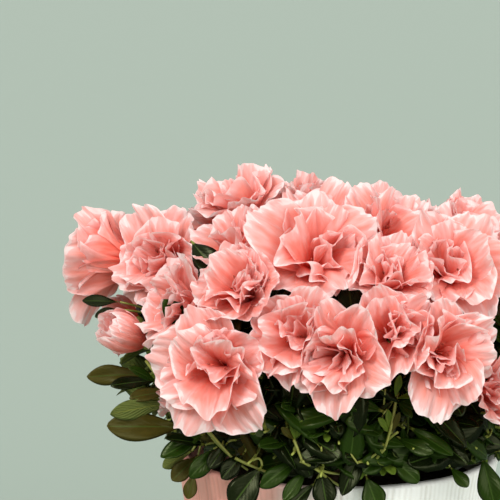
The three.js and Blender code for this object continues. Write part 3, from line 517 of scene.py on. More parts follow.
def bough_plan():
    """Each mass's bough curves from inside the trunk to its tip, and its stem goes on to the mass's own
    fork. Gives the boughs' roots, bends and tips, and the stems' roots, bends and forks."""
    numbers = np.arange(len(MASS_NAMES))
    middle = unit(np.array([np.sum(HEART[MASS == m] - FORK, axis=0) for m in numbers]))
    upper = numbers >= LOW_MASSES
    drop = np.where(upper, UPPER_BOUGH_DROP, np.array(LOW_BOUGH_DROPS)[numbers % 2])
    root = FORK - UP * drop[:, None]
    tip = FORK + middle * BOUGH_REACH
    first = unit(np.column_stack([middle[:, :2], np.where(upper, middle[:, 2], BOUGH_RISE)]))
    bend = root + first * BOUGH_REACH / 2
    along = unit(tip - bend)
    stem_root = tip + along * GAP
    stem_bend = stem_root + along * STEM_ROOT
    return (root, bend, tip), (stem_root, stem_bend, stem_bend + middle * (STEM_LENGTH - STEM_ROOT))


BOUGHS, STEMS = bough_plan()


def grid_triangles(rows, columns, wrap=False):
    """The triangles of a grid of points, row by row, facing along row x column. With wrap each row is a
    closed ring."""
    i, j = np.meshgrid(np.arange(rows - 1), np.arange(columns if wrap else columns - 1), indexing="ij")
    a, b = i * columns + j, i * columns + (j + 1) % columns
    c, d = b + columns, a + columns
    return np.stack([np.stack([a, d, c], -1), np.stack([a, c, b], -1)], -2).reshape(-1, 3)


def repeated(triangles, points_each, count):
    """One shape's triangles repeated for each of a count of shapes."""
    return (triangles + (np.arange(count) * points_each)[:, None, None]).reshape(-1, 3)


def ring_triangles(rings, sides):
    """The triangles of a closed tube: rings of points, then the two points that close its ends."""
    k = np.arange(sides)
    after, last, end = (k + 1) % sides, (rings - 1) * sides, rings * sides
    foot = np.stack([np.full(sides, end), k, after], -1)
    top = np.stack([np.full(sides, end + 1), last + after, last + k], -1)
    return np.vstack([grid_triangles(rings, sides, wrap=True), foot, top])[:, ::-1]


def tubes(paths, radii, sides):
    """Closed round tubes along paths of points (tubes, rings, 3). radii is (tubes, rings) or
    (tubes, rings, sides): each ring lies square to the path, at its radius from it."""
    count, rings = paths.shape[:2]
    along = unit(np.gradient(paths, axis=1))
    side, _ = square_to(unit(paths[:, -1] - paths[:, 0]))
    side = across_axis(side[:, None], along)
    other = np.cross(along, side)
    turn = np.linspace(0, 2 * np.pi, sides, endpoint=False)
    radii = np.broadcast_to(radii.reshape(*radii.shape[:2], -1), (count, rings, sides))
    out = side[:, :, None] * np.cos(turn)[:, None] + other[:, :, None] * np.sin(turn)[:, None]
    wall = (paths[:, :, None] + radii[..., None] * out).reshape(count, -1, 3)
    points = np.concatenate([wall, paths[:, :1], paths[:, -1:]], axis=1)
    share = np.append(np.repeat(np.linspace(0, 1, rings), sides), [0, 1])
    uv = np.column_stack([share, np.full(len(share), 0.5)])
    triangles = repeated(ring_triangles(rings, sides), points.shape[1], count)
    return points.reshape(-1, 3), triangles, np.tile(uv, (count, 1))


def joined(shapes):
    """Several (points, triangles, uv, material number) as one."""
    points, triangles, uv, kinds = zip(*shapes)
    starts = np.cumsum([0] + [len(part) for part in points])
    kinds = [np.broadcast_to(kind, len(faces)) for kind, faces in zip(kinds, triangles)]
    triangles = [faces + start for faces, start in zip(triangles, starts)]
    return np.vstack(points), np.vstack(triangles), np.vstack(uv), np.concatenate(kinds)


def put_piece(name, shape, materials, nodes=(), corner_uv=None):
    """Makes a piece from points in millimetres, triangles, the points' places on the pattern and each
    triangle's material number. It rides on the one body and may stand for nodes of the solids."""
    points, triangles, uv, kinds = shape
    if not np.isfinite(points).all():
        raise ValueError(f"{name} has points that are nowhere")
    if name in bpy.data.objects:
        bpy.data.objects.remove(bpy.data.objects[name])
    mesh = bpy.data.meshes.new(name)
    mesh.vertices.add(len(points))
    mesh.vertices.foreach_set("co", (points * MM).astype(np.float32).ravel())
    mesh.loops.add(triangles.size)
    mesh.loops.foreach_set("vertex_index", triangles.astype(np.int32).ravel())
    mesh.polygons.add(len(triangles))
    mesh.polygons.foreach_set("loop_start", np.arange(0, triangles.size, 3, dtype=np.int32))
    mesh.polygons.foreach_set("material_index", kinds.astype(np.int32))
    mesh.polygons.foreach_set("use_smooth", np.ones(len(triangles), dtype=bool))
    layer = mesh.uv_layers.new(name=PATTERN)
    corners = uv[triangles] if corner_uv is None else corner_uv
    layer.uv.foreach_set("vector", corners.astype(np.float32).ravel())
    mesh.update(calc_edges=True)
    for material in materials:
        mesh.materials.append(material)
    piece = bpy.data.objects.new(name, mesh)
    bpy.context.scene.collection.objects.link(piece)
    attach(piece, "root")
    if nodes:
        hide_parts(*nodes)
    return piece


def add_node(tree, kind, inputs=(), stops=(), **settings):
    """Adds a node. inputs are its sockets' values in order, or by name in a dict; a node or a socket among
    them is linked from. stops are a ramp's (place, colour)."""
    made = tree.nodes.new("ShaderNode" + kind)
    for name, value in settings.items():
        setattr(made, name, value)
    sockets = [socket for socket in made.inputs if socket.enabled]
    if isinstance(inputs, dict):
        sockets = [next(s for s in sockets if name in (s.identifier, s.name)) for name in inputs]
        inputs = inputs.values()
    for socket, value in zip(sockets, inputs):
        if isinstance(value, bpy.types.Node):
            value = next(out for out in value.outputs if out.enabled)
        if isinstance(value, bpy.types.NodeSocket):
            tree.links.new(value, socket)
        else:
            socket.default_value = value
    for i, (place, colour) in enumerate(stops):
        elements = made.color_ramp.elements
        element = elements[i] if i < 2 else elements.new(place)
        element.position, element.color = place, colour
    return made


def new_material(name):
    """An empty node material and its tree."""
    if name in bpy.data.materials:
        bpy.data.materials.remove(bpy.data.materials[name])
    material = bpy.data.materials.new(name)
    material.use_nodes = True
    material.node_tree.nodes.clear()
    return material, material.node_tree


def petal_material(name, look, paleness):
    """Azalea petal: thin, soft and translucent. It is deep coral in the throat, partly its own colour and
    partly painted shade deep in the blossom, and paler to a near-white frilled rim, partly its own pale
    margin and partly a painted highlight where thin edges catch the light, with fine veins that run out from
    the claw. It is paler on the crinkles' ridges and deeper in their valleys, which is painted light and
    shade. Both sides let light through."""
    material, tree = new_material(name)
    place = add_node(tree, "UVMap", uv_map=PATTERN)
    across, along = add_node(tree, "SeparateXYZ", [place]).outputs[:2]
    tiled = add_node(tree, "Math", [across, TILES], operation="MULTIPLY")
    shown = add_node(tree, "Math", [tiled], operation="FRACT")
    # painted highlight: the ramp runs paler towards each petal's side margins, more so towards its tip, for
    # thin edges that catch the light
    centred = add_node(tree, "Math", [shown, 0.5], operation="SUBTRACT")
    aside = add_node(tree, "Math", [centred], operation="ABSOLUTE")
    steep = add_node(tree, "Math", [aside, 3], operation="POWER")
    rim = add_node(tree, "Math", [steep, along], operation="MULTIPLY")
    # crinkles about 3 mm apart: 46 over the four tiles, each a petal of about 35 mm
    drawn = add_node(tree, "Mapping", {"Vector": place, "Scale": (46, 3.4, 1)})
    crinkles = add_node(tree, "TexNoise", {"Vector": drawn, "Scale": 1, "Detail": 1.5})
    # painted light and shade: the colour is paler on the crinkles' ridges and deeper in their valleys
    spread = add_node(tree, "MapRange", [crinkles, 0.25, 0.75, -0.17, 0.17])
    shade = add_node(tree, "Math", [rim, 2.2, along], operation="MULTIPLY_ADD")
    toned = add_node(tree, "Math", [shade, spread], operation="ADD")
    # veins about 1.3 mm apart, coarser than life so that they show
    drawn = add_node(tree, "Mapping", {"Vector": place, "Scale": (110, 4, 1)})
    veins = add_node(tree, "TexNoise", {"Vector": drawn, "Scale": 1, "Detail": 2})
    streaks = add_node(tree, "MapRange", [veins, 0.3, 0.7, paleness - 0.055, paleness + 0.055])
    paled = add_node(tree, "Math", [toned, streaks], operation="ADD")
    # the throat's deep coral is partly painted shade deep in the blossom, and the near-white rim partly a
    # painted highlight
    stops = [(0, look.throat), (1, look.rim), (0.33, look.coral), (0.66, look.salmon), (0.94, look.blush)]
    colour = add_node(tree, "ValToRGB", [paled], stops)
    rising = add_node(tree, "Math", [crinkles, along], operation="MULTIPLY")
    height = add_node(tree, "Math", [veins, 0.3, rising], operation="MULTIPLY_ADD")
    bump = add_node(tree, "Bump", {"Height": height, "Strength": 0.75, "Distance": look.crinkle * MM})
    skin = {"Base Color": colour, "Roughness": 0.55, "IOR": 1.4, "Specular IOR Level": 0.3, "Normal": bump}
    skin = add_node(tree, "BsdfPrincipled", {**skin, "Sheen Weight": 0.15, "Sheen Roughness": 0.4})
    through = add_node(tree, "BsdfTranslucent", {"Color": colour, "Normal": bump})
    add_node(tree, "OutputMaterial", [add_node(tree, "MixShader", [0.38, skin, through])])
    return material


def leaf_material(name, blade, rib, stalk, roughness, specular, depth):
    """Azalea leaf: a leathery blade with a paler midrib and a pale stalk. The upper side is waxy and
    glossy, the underside matt, and its gloss is a little green from the leaves round it."""
    material, tree = new_material(name)
    place = add_node(tree, "UVMap", uv_map=PATTERN)
    across, along = add_node(tree, "SeparateXYZ", [place]).outputs[:2]
    centred = add_node(tree, "Math", [across, 0.5], operation="SUBTRACT")
    aside = add_node(tree, "Math", [centred], operation="ABSOLUTE")
    ribbed = add_node(tree, "MapRange", [aside, 0.008, 0.04, 0.55, 0])
    # mottling of about 2 by 5 mm on a leaf of 16 by 37 mm
    drawn = add_node(tree, "Mapping", {"Vector": place, "Scale": (9, 7, 1)})
    mottle = add_node(tree, "TexNoise", {"Vector": drawn, "Scale": 1, "Detail": 3})
    darker = (*(0.6 * c for c in blade[:3]), 1.0)
    tone = add_node(tree, "Mix", [mottle, blade, darker], data_type="RGBA")
    with_rib = add_node(tree, "Mix", [ribbed, tone, rib], data_type="RGBA")
    near_stalk = add_node(tree, "MapRange", [along, 0.05, 0.13, 1, 0])
    colour = add_node(tree, "Mix", [near_stalk, with_rib, stalk], data_type="RGBA")
    # side nerves about 4.5 mm apart, slanting up from the midrib
    slanted = add_node(tree, "Math", [aside, -0.9, along], operation="MULTIPLY_ADD")
    waves = add_node(tree, "Math", [slanted, 52], operation="MULTIPLY")
    nerves = add_node(tree, "Math", [waves], operation="SINE")
    bump = add_node(tree, "Bump", {"Height": nerves, "Strength": depth, "Distance": FINE_BUMP})
    skin = {"Base Color": colour, "Roughness": roughness, "IOR": 1.45, "Specular IOR Level": specular}
    skin = add_node(tree, "BsdfPrincipled", {**skin, "Specular Tint": linear(LEAF_GLOSS), "Normal": bump})
    add_node(tree, "OutputMaterial", [skin])
    return material


def wood_material(name, old, young, roughness):
    """A shoot's skin: brown bark at its root that turns into smooth yellow-green young wood towards its
    tip, with the change in soft patches."""
    material, tree = new_material(name)
    share = add_node(tree, "SeparateXYZ", [add_node(tree, "UVMap", uv_map=PATTERN)])
    place = add_node(tree, "TexCoord").outputs["Object"]
    # 260 a metre are patches of about 4 mm
    patches = add_node(tree, "TexNoise", {"Vector": place, "Scale": 260, "Detail": 3})
    spread = add_node(tree, "Math", [patches, 0.5, share], operation="MULTIPLY_ADD")
    age = add_node(tree, "MapRange", [spread, 0.5, 1.05])
    colour = add_node(tree, "Mix", [age, old, young], data_type="RGBA")
    bump = add_node(tree, "Bump", {"Height": patches, "Strength": 0.3, "Distance": FINE_BUMP})
    skin = {"Base Color": colour, "Roughness": roughness, "IOR": 1.45, "Normal": bump}
    add_node(tree, "OutputMaterial", [add_node(tree, "BsdfPrincipled", skin)])
    return material


def plain_material(name, first, second, millimetres, roughness, depth):
    """Two shades in soft patches of a size in millimetres on Object coordinates, with a bump of the same
    pattern: bark, green shoots, anthers, sepals and compost."""
    material, tree = new_material(name)
    place = add_node(tree, "TexCoord").outputs["Object"]
    grain = {"Vector": place, "Scale": 1 / MM / millimetres, "Detail": 4, "Roughness": 0.65}
    patches = add_node(tree, "TexNoise", grain)
    colour = add_node(tree, "Mix", [patches, first, second], data_type="RGBA")
    relief = {"Height": patches, "Strength": depth, "Distance": millimetres * FINE_BUMP}
    bump = add_node(tree, "Bump", relief)
    skin = {"Base Color": colour, "Roughness": roughness, "IOR": 1.45, "Normal": bump}
    add_node(tree, "OutputMaterial", [add_node(tree, "BsdfPrincipled", skin)])
    return material


def glaze_material(look):
    """Glazed stoneware with combed upright ribs: off-white glaze, greyer in the grooves as painted shade,
    washed with pink from one side, a deeper pink in the grooves as painted shade too. The gloss is soft, as
    the glaze follows the combing."""
    material, tree = new_material("combed_glaze")
    groove = add_node(tree, "Attribute", attribute_name="groove").outputs["Fac"]
    place = add_node(tree, "TexCoord").outputs["Object"]
    way = tuple(towards(look.wash_azimuth, 0))
    lean = add_node(tree, "VectorMath", [place, way], operation="DOT_PRODUCT")
    drawn = add_node(tree, "Mapping", {"Vector": place, "Scale": (1, 1, 0.25)})
    # 90 a metre are patches of about 11 mm across, four times as long as wide
    patches = add_node(tree, "TexNoise", {"Vector": drawn, "Scale": 90, "Detail": 4})
    wavering = add_node(tree, "Math", [patches, 0.045, lean], operation="MULTIPLY_ADD")
    wash = add_node(tree, "MapRange", [wavering, -0.012, 0.06], interpolation_type="SMOOTHSTEP")
    ridge = add_node(tree, "Mix", [wash, look.glaze, look.wash], data_type="RGBA")
    # painted shade: the grooves get a greyer glaze and a deeper pink, by the groove's depth
    hollow = add_node(tree, "Mix", [wash, look.groove, look.wash_groove], data_type="RGBA")
    colour = add_node(tree, "Mix", [groove, ridge, hollow], data_type="RGBA")
    # 700 a metre are grit of about 1.4 mm, coarser than life so that it shows
    grit = add_node(tree, "TexNoise", {"Vector": place, "Scale": 700, "Detail": 3})
    bump = add_node(tree, "Bump", {"Height": grit, "Strength": 0.25, "Distance": FINE_BUMP})
    skin = {"Base Color": colour, "Roughness": 0.42, "IOR": 1.5, "Normal": bump}
    add_node(tree, "OutputMaterial", [add_node(tree, "BsdfPrincipled", skin)])
    return material


class AzaleaPot(bpy.types.PropertyGroup):
    """The pot and the compost."""

    rib_spacing: size_prop("Rib spacing", 3.6, "Distance between combed ribs at the rim, mm", min=2, max=12)
    rib_depth: size_prop("Rib depth", 0.55, "Depth of the grooves between ribs, mm", min=0, max=2)
    wash_azimuth: size_prop("Wash azimuth", -105, "Side that the pink wash comes from, degrees, 0 in front")
    glaze: colour_prop("Glaze", "#f8f6f2", "Off-white glaze on the ribs")
    # painted shade: the grooves' greyer colour stands for their shade
    groove: colour_prop("Groove", "#ded9d2", "Thin greyer glaze in the grooves")
    wash: colour_prop("Wash", "#e39d8e", "Pink wash on the ribs")
    # painted shade: the pink wash is deeper in the grooves
    wash_groove: colour_prop("Wash groove", "#d08c7d", "Pink wash in the grooves")
    compost: colour_prop("Compost", "#2a1d15", "Moist peat compost")
    crumbs: colour_prop("Crumbs", "#4a3526", "Drier crumbs of the compost")


class AzaleaWood(bpy.types.PropertyGroup):
    """Trunk, boughs and twigs."""

    relief: size_prop("Bark relief", 0.07, "Height of the bark's ridges as a share of the radius", max=0.2)
    twig_root: size_prop("Twig root radius", 1.5, "Radius of a twig where it leaves the stem, mm", min=0.5)
    twig_tip: size_prop("Twig tip radius", 0.8, "Radius of a twig at its tip, mm", min=0.3)
    bark: colour_prop("Bark", "#6b5240", "Brown bark")
    bark_dark: colour_prop("Bark in cracks", "#3a2a20", "Dark cracks of the bark")
    shoot: colour_prop("Shoot", "#8c9440", "Yellow-green young wood")
    shoot_dark: colour_prop("Shoot, shaded", "#6d6a2c", "Older side of a young shoot")


class AzaleaLeaf(bpy.types.PropertyGroup):
    """Leaves."""

    shortest: size_prop("Shortest", 28, "Shortest leaf, mm", min=5)
    longest: size_prop("Longest", 46, "Longest leaf, mm", min=10)
    slimness: size_prop("Slimness", 0.44, "Width of a leaf as a share of its length", min=0.1, max=0.9)
    seed: IntProperty(name="Seed", description="Seed of the leaves' order", default=11)
    # painted shade: the dark tone is a darker copy of the mature leaves' green, for those deep in the crown's
    # shade
    dark: colour_prop("Dark", "#0d1505", "Mature leaves in the shade of the crown")
    green: colour_prop("Green", "#1f3309", "Mature leaves")
    olive: colour_prop("Olive", "#423b14", "Bronze and olive leaves")
    young: colour_prop("Young", "#586c22", "Young leaves at the shoots' ends")
    rib: colour_prop("Rib", "#3c5220", "Midrib of the upper side")
    under: colour_prop("Underside", "#626c34", "Matt underside")
    stalk: colour_prop("Stalk", "#7b7f35", "Leaf stalk")


class AzaleaBlossom(bpy.types.PropertyGroup):
    """Blossom."""

    ruffle: size_prop("Ruffle", 1.7, "Height of the waves along a petal's margin, mm", min=0, max=5)
    frill: size_prop("Frill", 0.7, "Height of the finest waves along the margin, mm", min=0, max=2)
    crinkle: size_prop("Crinkle", 2.2, "Depth of the fine lengthwise crinkles, mm", min=0, max=5)
    folds: size_prop("Folds", 1, "How strong the long folds of the petals are", max=3)
    seed: IntProperty(name="Seed", description="Seed of the petals' differences", default=5)
    # painted shade, in part: the throat's deep coral is partly the petal's own colour and partly shade deep
    # in the blossom
    throat: colour_prop("Throat", "#f4503a", "Deep coral of the throat")
    coral: colour_prop("Coral", "#f47a66", "Coral of the lower petal")
    salmon: colour_prop("Salmon", "#f49e91", "Salmon of the petal's middle")
    blush: colour_prop("Blush", "#f7c2bd", "Pale pink towards the margin")
    # painted highlight, in part: the near-white rim is partly the petal's pale margin and partly light caught
    # by its thin edge
    rim: colour_prop("Rim", "#fbe2df", "Near-white frilled rim")
    anther: colour_prop("Anther", "#3d2418", "Dark anthers")
    filament: colour_prop("Filament", "#d8604c", "Coral filaments")


class AzaleaStudio(bpy.types.PropertyGroup):
    """Camera, floor and light."""

    distance: size_prop("Distance", VIEW_DISTANCE * MM, "From the camera to the crown", unit="LENGTH")
    elevation: size_prop("Elevation", VIEW_ELEVATION, "Angle above the horizon", subtype="ANGLE")
    lens: size_prop("Lens", VIEW_LENS, "Focal length, mm", min=20)
    floor: colour_prop("Floor", "#8f9c91", "Pale grey-green floor")
    sun: size_prop("Sun", 2.5, "Strength of the slanting daylight, W/m2")
    sky: size_prop("Sky", 1.3, "Strength of the light from overhead, W/m2")
    fill: size_prop("Fill", 2.65, "Strength of the low light in front, W/m2")
    air: colour_prop("Air", "#f6f8f2", "Colour of the light from all round")
    glow: size_prop("Glow", 0.46, "Strength of the light from all round")


def smooth_noise(rng, points, size, waves=12):
    """Soft seeded noise of about unit height: a sum of sine waves in random directions, their length a size
    in millimetres."""
    ways = unit(rng.normal(size=(waves, 3))) * (2 * np.pi / size) * rng.uniform(0.6, 1.6, (waves, 1))
    return np.sin(points @ ways.T + rng.uniform(0, 2 * np.pi, waves)).sum(axis=-1) * math.sqrt(2 / waves)


class AZALEA_OT_pot(bpy.types.Operator):
    """The pot: a closed profile of wall, rounded rim, inner wall and floor turned about Z. The outer wall
    is drawn in by a groove that is a cosine of the way round, wavering as it goes down."""

    bl_idname = "azalea.pot"
    bl_label = "Combed glazed pot"

    def execute(self, context):
        look = context.scene.azalea_pot
        ribs = round(2 * math.pi * POT_RIM_RADIUS / look.rib_spacing)
        columns = RIB_COLUMNS * ribs
        quarter = np.linspace(0, np.pi / 2, 5)
        aside, down = EDGE_ROUND * (1 - np.sin(quarter)), EDGE_ROUND * (1 - np.cos(quarter))
        outer = np.linspace(EDGE_ROUND, POT_HEIGHT - EDGE_ROUND, 26)[1:-1]
        inner = np.linspace(POT_HEIGHT - EDGE_ROUND, POT_FLOOR, 8)[1:]
        rows = [
            ([POT_FOOT_RADIUS * 0.6], [0]),
            (POT_FOOT_RADIUS - aside, down),
            (pot_radius(outer), outer),
            (POT_RIM_RADIUS - down, POT_HEIGHT - aside),
            (POT_RIM_RADIUS - POT_WALL + aside, POT_HEIGHT - down),
            (pot_radius(inner) - POT_WALL, inner),
        ]
        radius, z = (np.concatenate(part)[:, None] for part in zip(*rows))
        turn = np.linspace(0, 2 * np.pi, columns, endpoint=False)
        rng = np.random.default_rng(3)
        drift = sum(
            rng.uniform(0.3, 0.8) * np.sin(k * turn + z / rng.uniform(18, 60) + rng.uniform(0, 6))
            for k in range(3, 12)
        )
        depth = (0.5 - 0.5 * np.cos(ribs * turn + drift)) ** 1.6
        waves = (23, 31, 47, 61)
        uneven = sum(np.sin(k * turn + z / rng.uniform(30, 90) + rng.uniform(0, 6)) for k in waves) / 4
        rings, first, last = len(radius), len(quarter), 1 + len(quarter) + len(outer)
        outside = np.zeros((rings, 1))
        outside[first:last] = 1
        outside[last : last + 4, 0] = [1, 0.7, 0.35, 0.1]
        groove = depth * np.clip(0.55 + 0.6 * uneven, 0, 1) * outside
        shrunk = radius - look.rib_depth * groove
        wall = np.stack([shrunk * np.sin(turn), -shrunk * np.cos(turn), z + 0 * shrunk], -1)
        points = np.vstack([wall.reshape(-1, 3), [[0, 0, 0], [0, 0, POT_FLOOR]]])
        triangles = ring_triangles(rings, columns)
        column = np.append(np.tile(np.arange(columns), rings), [0, 0])
        share = np.append(np.repeat(np.linspace(0.02, 0.98, rings), columns), [0, 1])
        across = column[triangles].astype(float)
        ends = triangles >= rings * columns
        seam = np.ptp(across, axis=1) > columns / 2
        across[seam[:, None] & (across < columns / 2) & ~ends] += columns
        across[ends] = np.repeat(np.where(ends, 0, across).sum(axis=1) / 2, ends.sum(axis=1))
        corner_uv = np.stack([across / columns, share[triangles]], -1)
        shape = (points, triangles, np.zeros((len(points), 2)), np.zeros(len(triangles)))
        pot = put_piece("glazed_pot", shape, [glaze_material(look)], ["pot"], corner_uv)
        # the groove's depth, which also sets the painted shade in the grooves
        attribute = pot.data.attributes.new("groove", "FLOAT", "POINT")
        attribute.data.foreach_set("value", np.append(groove.ravel(), [0, 0]).astype(np.float32))
        return {"FINISHED"}


class AZALEA_OT_compost(bpy.types.Operator):
    """The compost: a disc of rings whose height is soft noise, so that it lies in crumbs, on a plain tapered
    plug that goes down to the pot's floor."""

    bl_idname = "azalea.compost"
    bl_label = "Compost"

    def execute(self, context):
        look = context.scene.azalea_pot
        columns, rows = 120, 44
        floor, edge = (pot_radius(z) - POT_WALL - 2 * GAP for z in (POT_FLOOR, COMPOST_TOP))
        radius = np.concatenate([[floor, edge], np.linspace(edge - 0.6, 3, rows)])[:, None]
        turn = np.linspace(0, 2 * np.pi, columns, endpoint=False)
        z = np.array([POT_FLOOR + GAP, COMPOST_TOP - 4] + [COMPOST_TOP - CRUMB_HEIGHT] * rows)[:, None]
        points = np.stack([radius * np.sin(turn), -radius * np.cos(turn), z + 0 * turn], -1)
        rng = np.random.default_rng(8)
        top = points[2:]
        crumbs = 0.9 * smooth_noise(rng, top, 9) + 0.6 * smooth_noise(rng, top, 4)
        top[..., 2] += np.clip(crumbs, -CRUMB_HEIGHT, CRUMB_HEIGHT - 0.1)
        points = np.vstack([points.reshape(-1, 3), [[0, 0, POT_FLOOR + GAP], [0, 0, COMPOST_TOP - 2]]])
        triangles = ring_triangles(rows + 2, columns)
        shape = (points, triangles, points[:, :2] / (2.2 * edge) + 0.5, np.zeros(len(triangles)))
        peat = plain_material("peat_compost", look.compost, look.crumbs, 3.0, 0.95, 0.8)
        put_piece("compost_fill", shape, [peat], ["compost"])
        return {"FINISHED"}


class AZALEA_OT_limbs(bpy.types.Operator):
    """Trunk and boughs: round tubes along the solids' own curves. Their radius is raised by ridges that run
    up the limb, waver and branch: sines of the way round and along."""

    bl_idname = "azalea.limbs"
    bl_label = "Trunk and boughs"

    def execute(self, context):
        look = context.scene.azalea_wood
        bark = plain_material("azalea_bark", look.bark, look.bark_dark, 2.5, 0.9, 0.7)
        rings, steps = 60, 24
        z = np.linspace(TRUNK_KEYS[0][1], TRUNK_KEYS[-1][1], rings)
        across, heights, radii = np.array(TRUNK_KEYS).T
        path = np.column_stack([np.interp(z, heights, across), np.zeros(rings), z])[None]
        radius = self.ridged(path, np.interp(z, heights, radii)[None], 36, look.relief, 2)
        trunk = tubes(path, radius, 36)
        put_piece("trunk_bark", (*trunk, np.zeros(len(trunk[1]))), [bark], ["trunk"])
        paths = bezier(*BOUGHS, steps)
        radii = np.tile(np.linspace(BOUGH_RADIUS, BOUGH_TIP_RADIUS, steps + 1), (len(paths), 1))
        boughs = tubes(paths, self.ridged(paths, radii, 14, look.relief, 4), 14)
        names = ["bough_" + name for name in MASS_NAMES]
        put_piece("boughs_bark", (*boughs, np.zeros(len(boughs[1]))), [bark], names)
        return {"FINISHED"}

    def ridged(self, paths, radii, sides, relief, seed):
        """Each ring's radii, lowered between the ridges."""
        rng = np.random.default_rng(seed)
        turn = np.linspace(0, 2 * np.pi, sides, endpoint=False)
        along = paths[:, :, None, 2]
        wave = sum(
            np.sin(k * turn + along / rng.uniform(6, 20) * rng.choice([-1, 1]) + rng.uniform(0, 6))
            for k in (3, 5, 7, 9)
        )
        return radii[..., None] * (1 - relief * (0.5 - 0.25 * wave))


def in_blossom(points, margin):
    """Whether points lie inside a blossom: nearer its axis than its margin, and above the surface that its
    outer petals make."""
    length = OUTER_PETAL * 2 * RADIUS
    first = FIRST_ANGLE * OPENNESS + THROAT_ANGLE
    bend = LAST_ANGLE * OPENNESS - first
    offset = points[:, None] - CALYX
    rise = np.einsum("nbk,bk->nb", offset, AXIS)
    out = np.linalg.norm(offset - rise[..., None] * AXIS, axis=-1)
    cosine = np.cos(first) - out * bend / length
    angle = np.arccos(np.clip(cosine, -1, 1))
    surface = length * (np.sin(angle) - np.sin(first)) / bend
    widest = length * (np.cos(first) - np.cos(first + bend)) / bend
    deep = (rise > surface - margin) & (rise < surface.clip(0) + BLOSSOM_DEPTH)
    return np.any((out < widest * 0.97) & deep, axis=1)


def shoot_plan():
    """Every leafy shoot's start, bend and end, and the axis of its whorl. The first are a skirt of low shoots
    over the pot's rim and a band below the blossom. Then come shoots inside the crown, on a golden spiral
    over a smaller dome. Each starts at the nearest fork of its own mass."""
    rng = np.random.default_rng(21)
    i = np.arange(SHOOTS_IN_SKIRT)
    azimuth, (radius, rise, elevation) = 360 * i / SHOOTS_IN_SKIRT, SKIRT_RINGS[i % 2].T
    skirt = FORK + towards(azimuth, 0) * radius[:, None] + UP * rise[:, None]
    i = np.arange(SHOOTS_IN_BAND)
    band = towards(GOLDEN_ANGLE * i + BAND_START, mix(*BAND_ELEVATIONS, (i + 0.5) / SHOOTS_IN_BAND))
    i = np.arange(INNER_SHOOTS)
    inner = towards(GOLDEN_ANGLE * i, np.degrees(np.arcsin(mix(*INNER_SINES, (i + 0.5) / INNER_SHOOTS))))
    depths = rng.uniform(*INNER_DEPTHS, INNER_SHOOTS)
    inner_ends = FORK + inner * (dome_reach(inner) * depths)[:, None]
    ends = np.vstack([skirt, FORK + band * (BAND_DEPTH * dome_reach(band))[:, None], inner_ends])
    leaning = unit(inner + rng.normal(size=inner.shape) * AXIS_SCATTER)
    axes = np.vstack([towards(azimuth, elevation), band, leaning])
    mass = mass_of(ends, MASS_MARGIN)
    kept = (mass >= 0) & clear_of_pot(ends, SHOOT_CLEARANCE) & ~in_blossom(ends, SHOOT_CLEARANCE)
    kept &= above_hem(ends) & ~in_open_side(ends)
    ends, axes, mass = ends[kept], axes[kept], mass[kept]
    forks = np.vstack([STEMS[2], mix(FORK, CALYX, TWIG_BEND)])
    fork_mass = np.concatenate([np.arange(len(MASS_NAMES)), MASS])
    away = np.linalg.norm(ends[:, None] - forks, axis=-1) + FAR * (mass[:, None] != fork_mass)
    bends = mix(FORK, ends, TWIG_BEND) * 0.5 + (ends - axes * SHOOT_RUN) * 0.5
    return forks[np.argmin(away, axis=1)], bends, ends, axes


def side_shoot_plan(starts, bends, ends):
    """Finer shoots that leave the first ones at two places along them and turn off to the side."""
    rng = np.random.default_rng(4)
    starts, bends, ends = (np.repeat(a, 2, axis=0) for a in (starts, bends, ends))
    t = np.tile(SIDE_SHOOT_PLACES, len(starts) // 2)[:, None]
    root = starts * (1 - t) ** 2 + bends * 2 * t * (1 - t) + ends * t**2
    along = unit(ends - bends)
    way = unit(along * 0.6 + across_axis(rng.normal(size=along.shape), along))
    tip = root + way * rng.uniform(*SIDE_SHOOT_LENGTHS, (len(root), 1))
    kept = clear_of_pot(tip, SHOOT_CLEARANCE) & ~in_blossom(tip, SHOOT_CLEARANCE)
    kept &= (mass_of(tip, 1) >= 0) & ~in_open_side(tip)
    bend, parent = mix(root, tip, 0.5) + along * 2, np.arange(len(root)) // 2
    return root[kept], bend[kept], tip[kept], unit(way + UP * 0.25)[kept], parent[kept]


def front_leaf_plan():
    """The leaves that stand out at the front, as whorl() gives them, but for their widths in place of a
    shoot's number, the twigs that carry them from the nearest shoot, and that shoot's number."""
    rows = np.array([row[:-1] for row in FRONT_LEAVES], dtype=float)
    root, tip, facing = seen(rows[:, :2], rows[:, 4]), seen(rows[:, 2:4], rows[:, 5]), rows[:, 7:]
    direction, length = unit(tip - root), np.linalg.norm(tip - root, axis=1)
    normal = across_axis(VIEW_BACK * facing + UP * (1 - np.abs(facing)), direction)
    carriers = SHOOTS[2] - SHOOTS[3] * 6
    above = np.maximum(carriers[:, 2] - root[:, None, 2], 0)
    nearest = np.argmin(np.linalg.norm(root[:, None] - carriers, axis=-1) + 2 * above, axis=1)
    start = carriers[nearest]
    bend = mix(start, root, 0.6) - direction * 3 + UP * 3
    leaves = root, direction, normal, length, np.full(len(root), 0.1), rows[:, 6]
    return leaves, (start, bend, root), nearest


def front_stem_plan():
    """The stems that are seen between the leaves of the front: their starts, bends and ends."""
    rows = np.array(FRONT_STEMS, dtype=float)
    middle = (rows[:, 6] + rows[:, 7]) / 2 + 2
    return seen(rows[:, :2], rows[:, 6]), seen(rows[:, 2:4], middle), seen(rows[:, 4:6], rows[:, 7])


SHOOTS = shoot_plan()
SIDE_SHOOTS = side_shoot_plan(*SHOOTS[:3])
FRONT_SHAPES, FRONT_TWIGS, FRONT_PARENTS = front_leaf_plan()


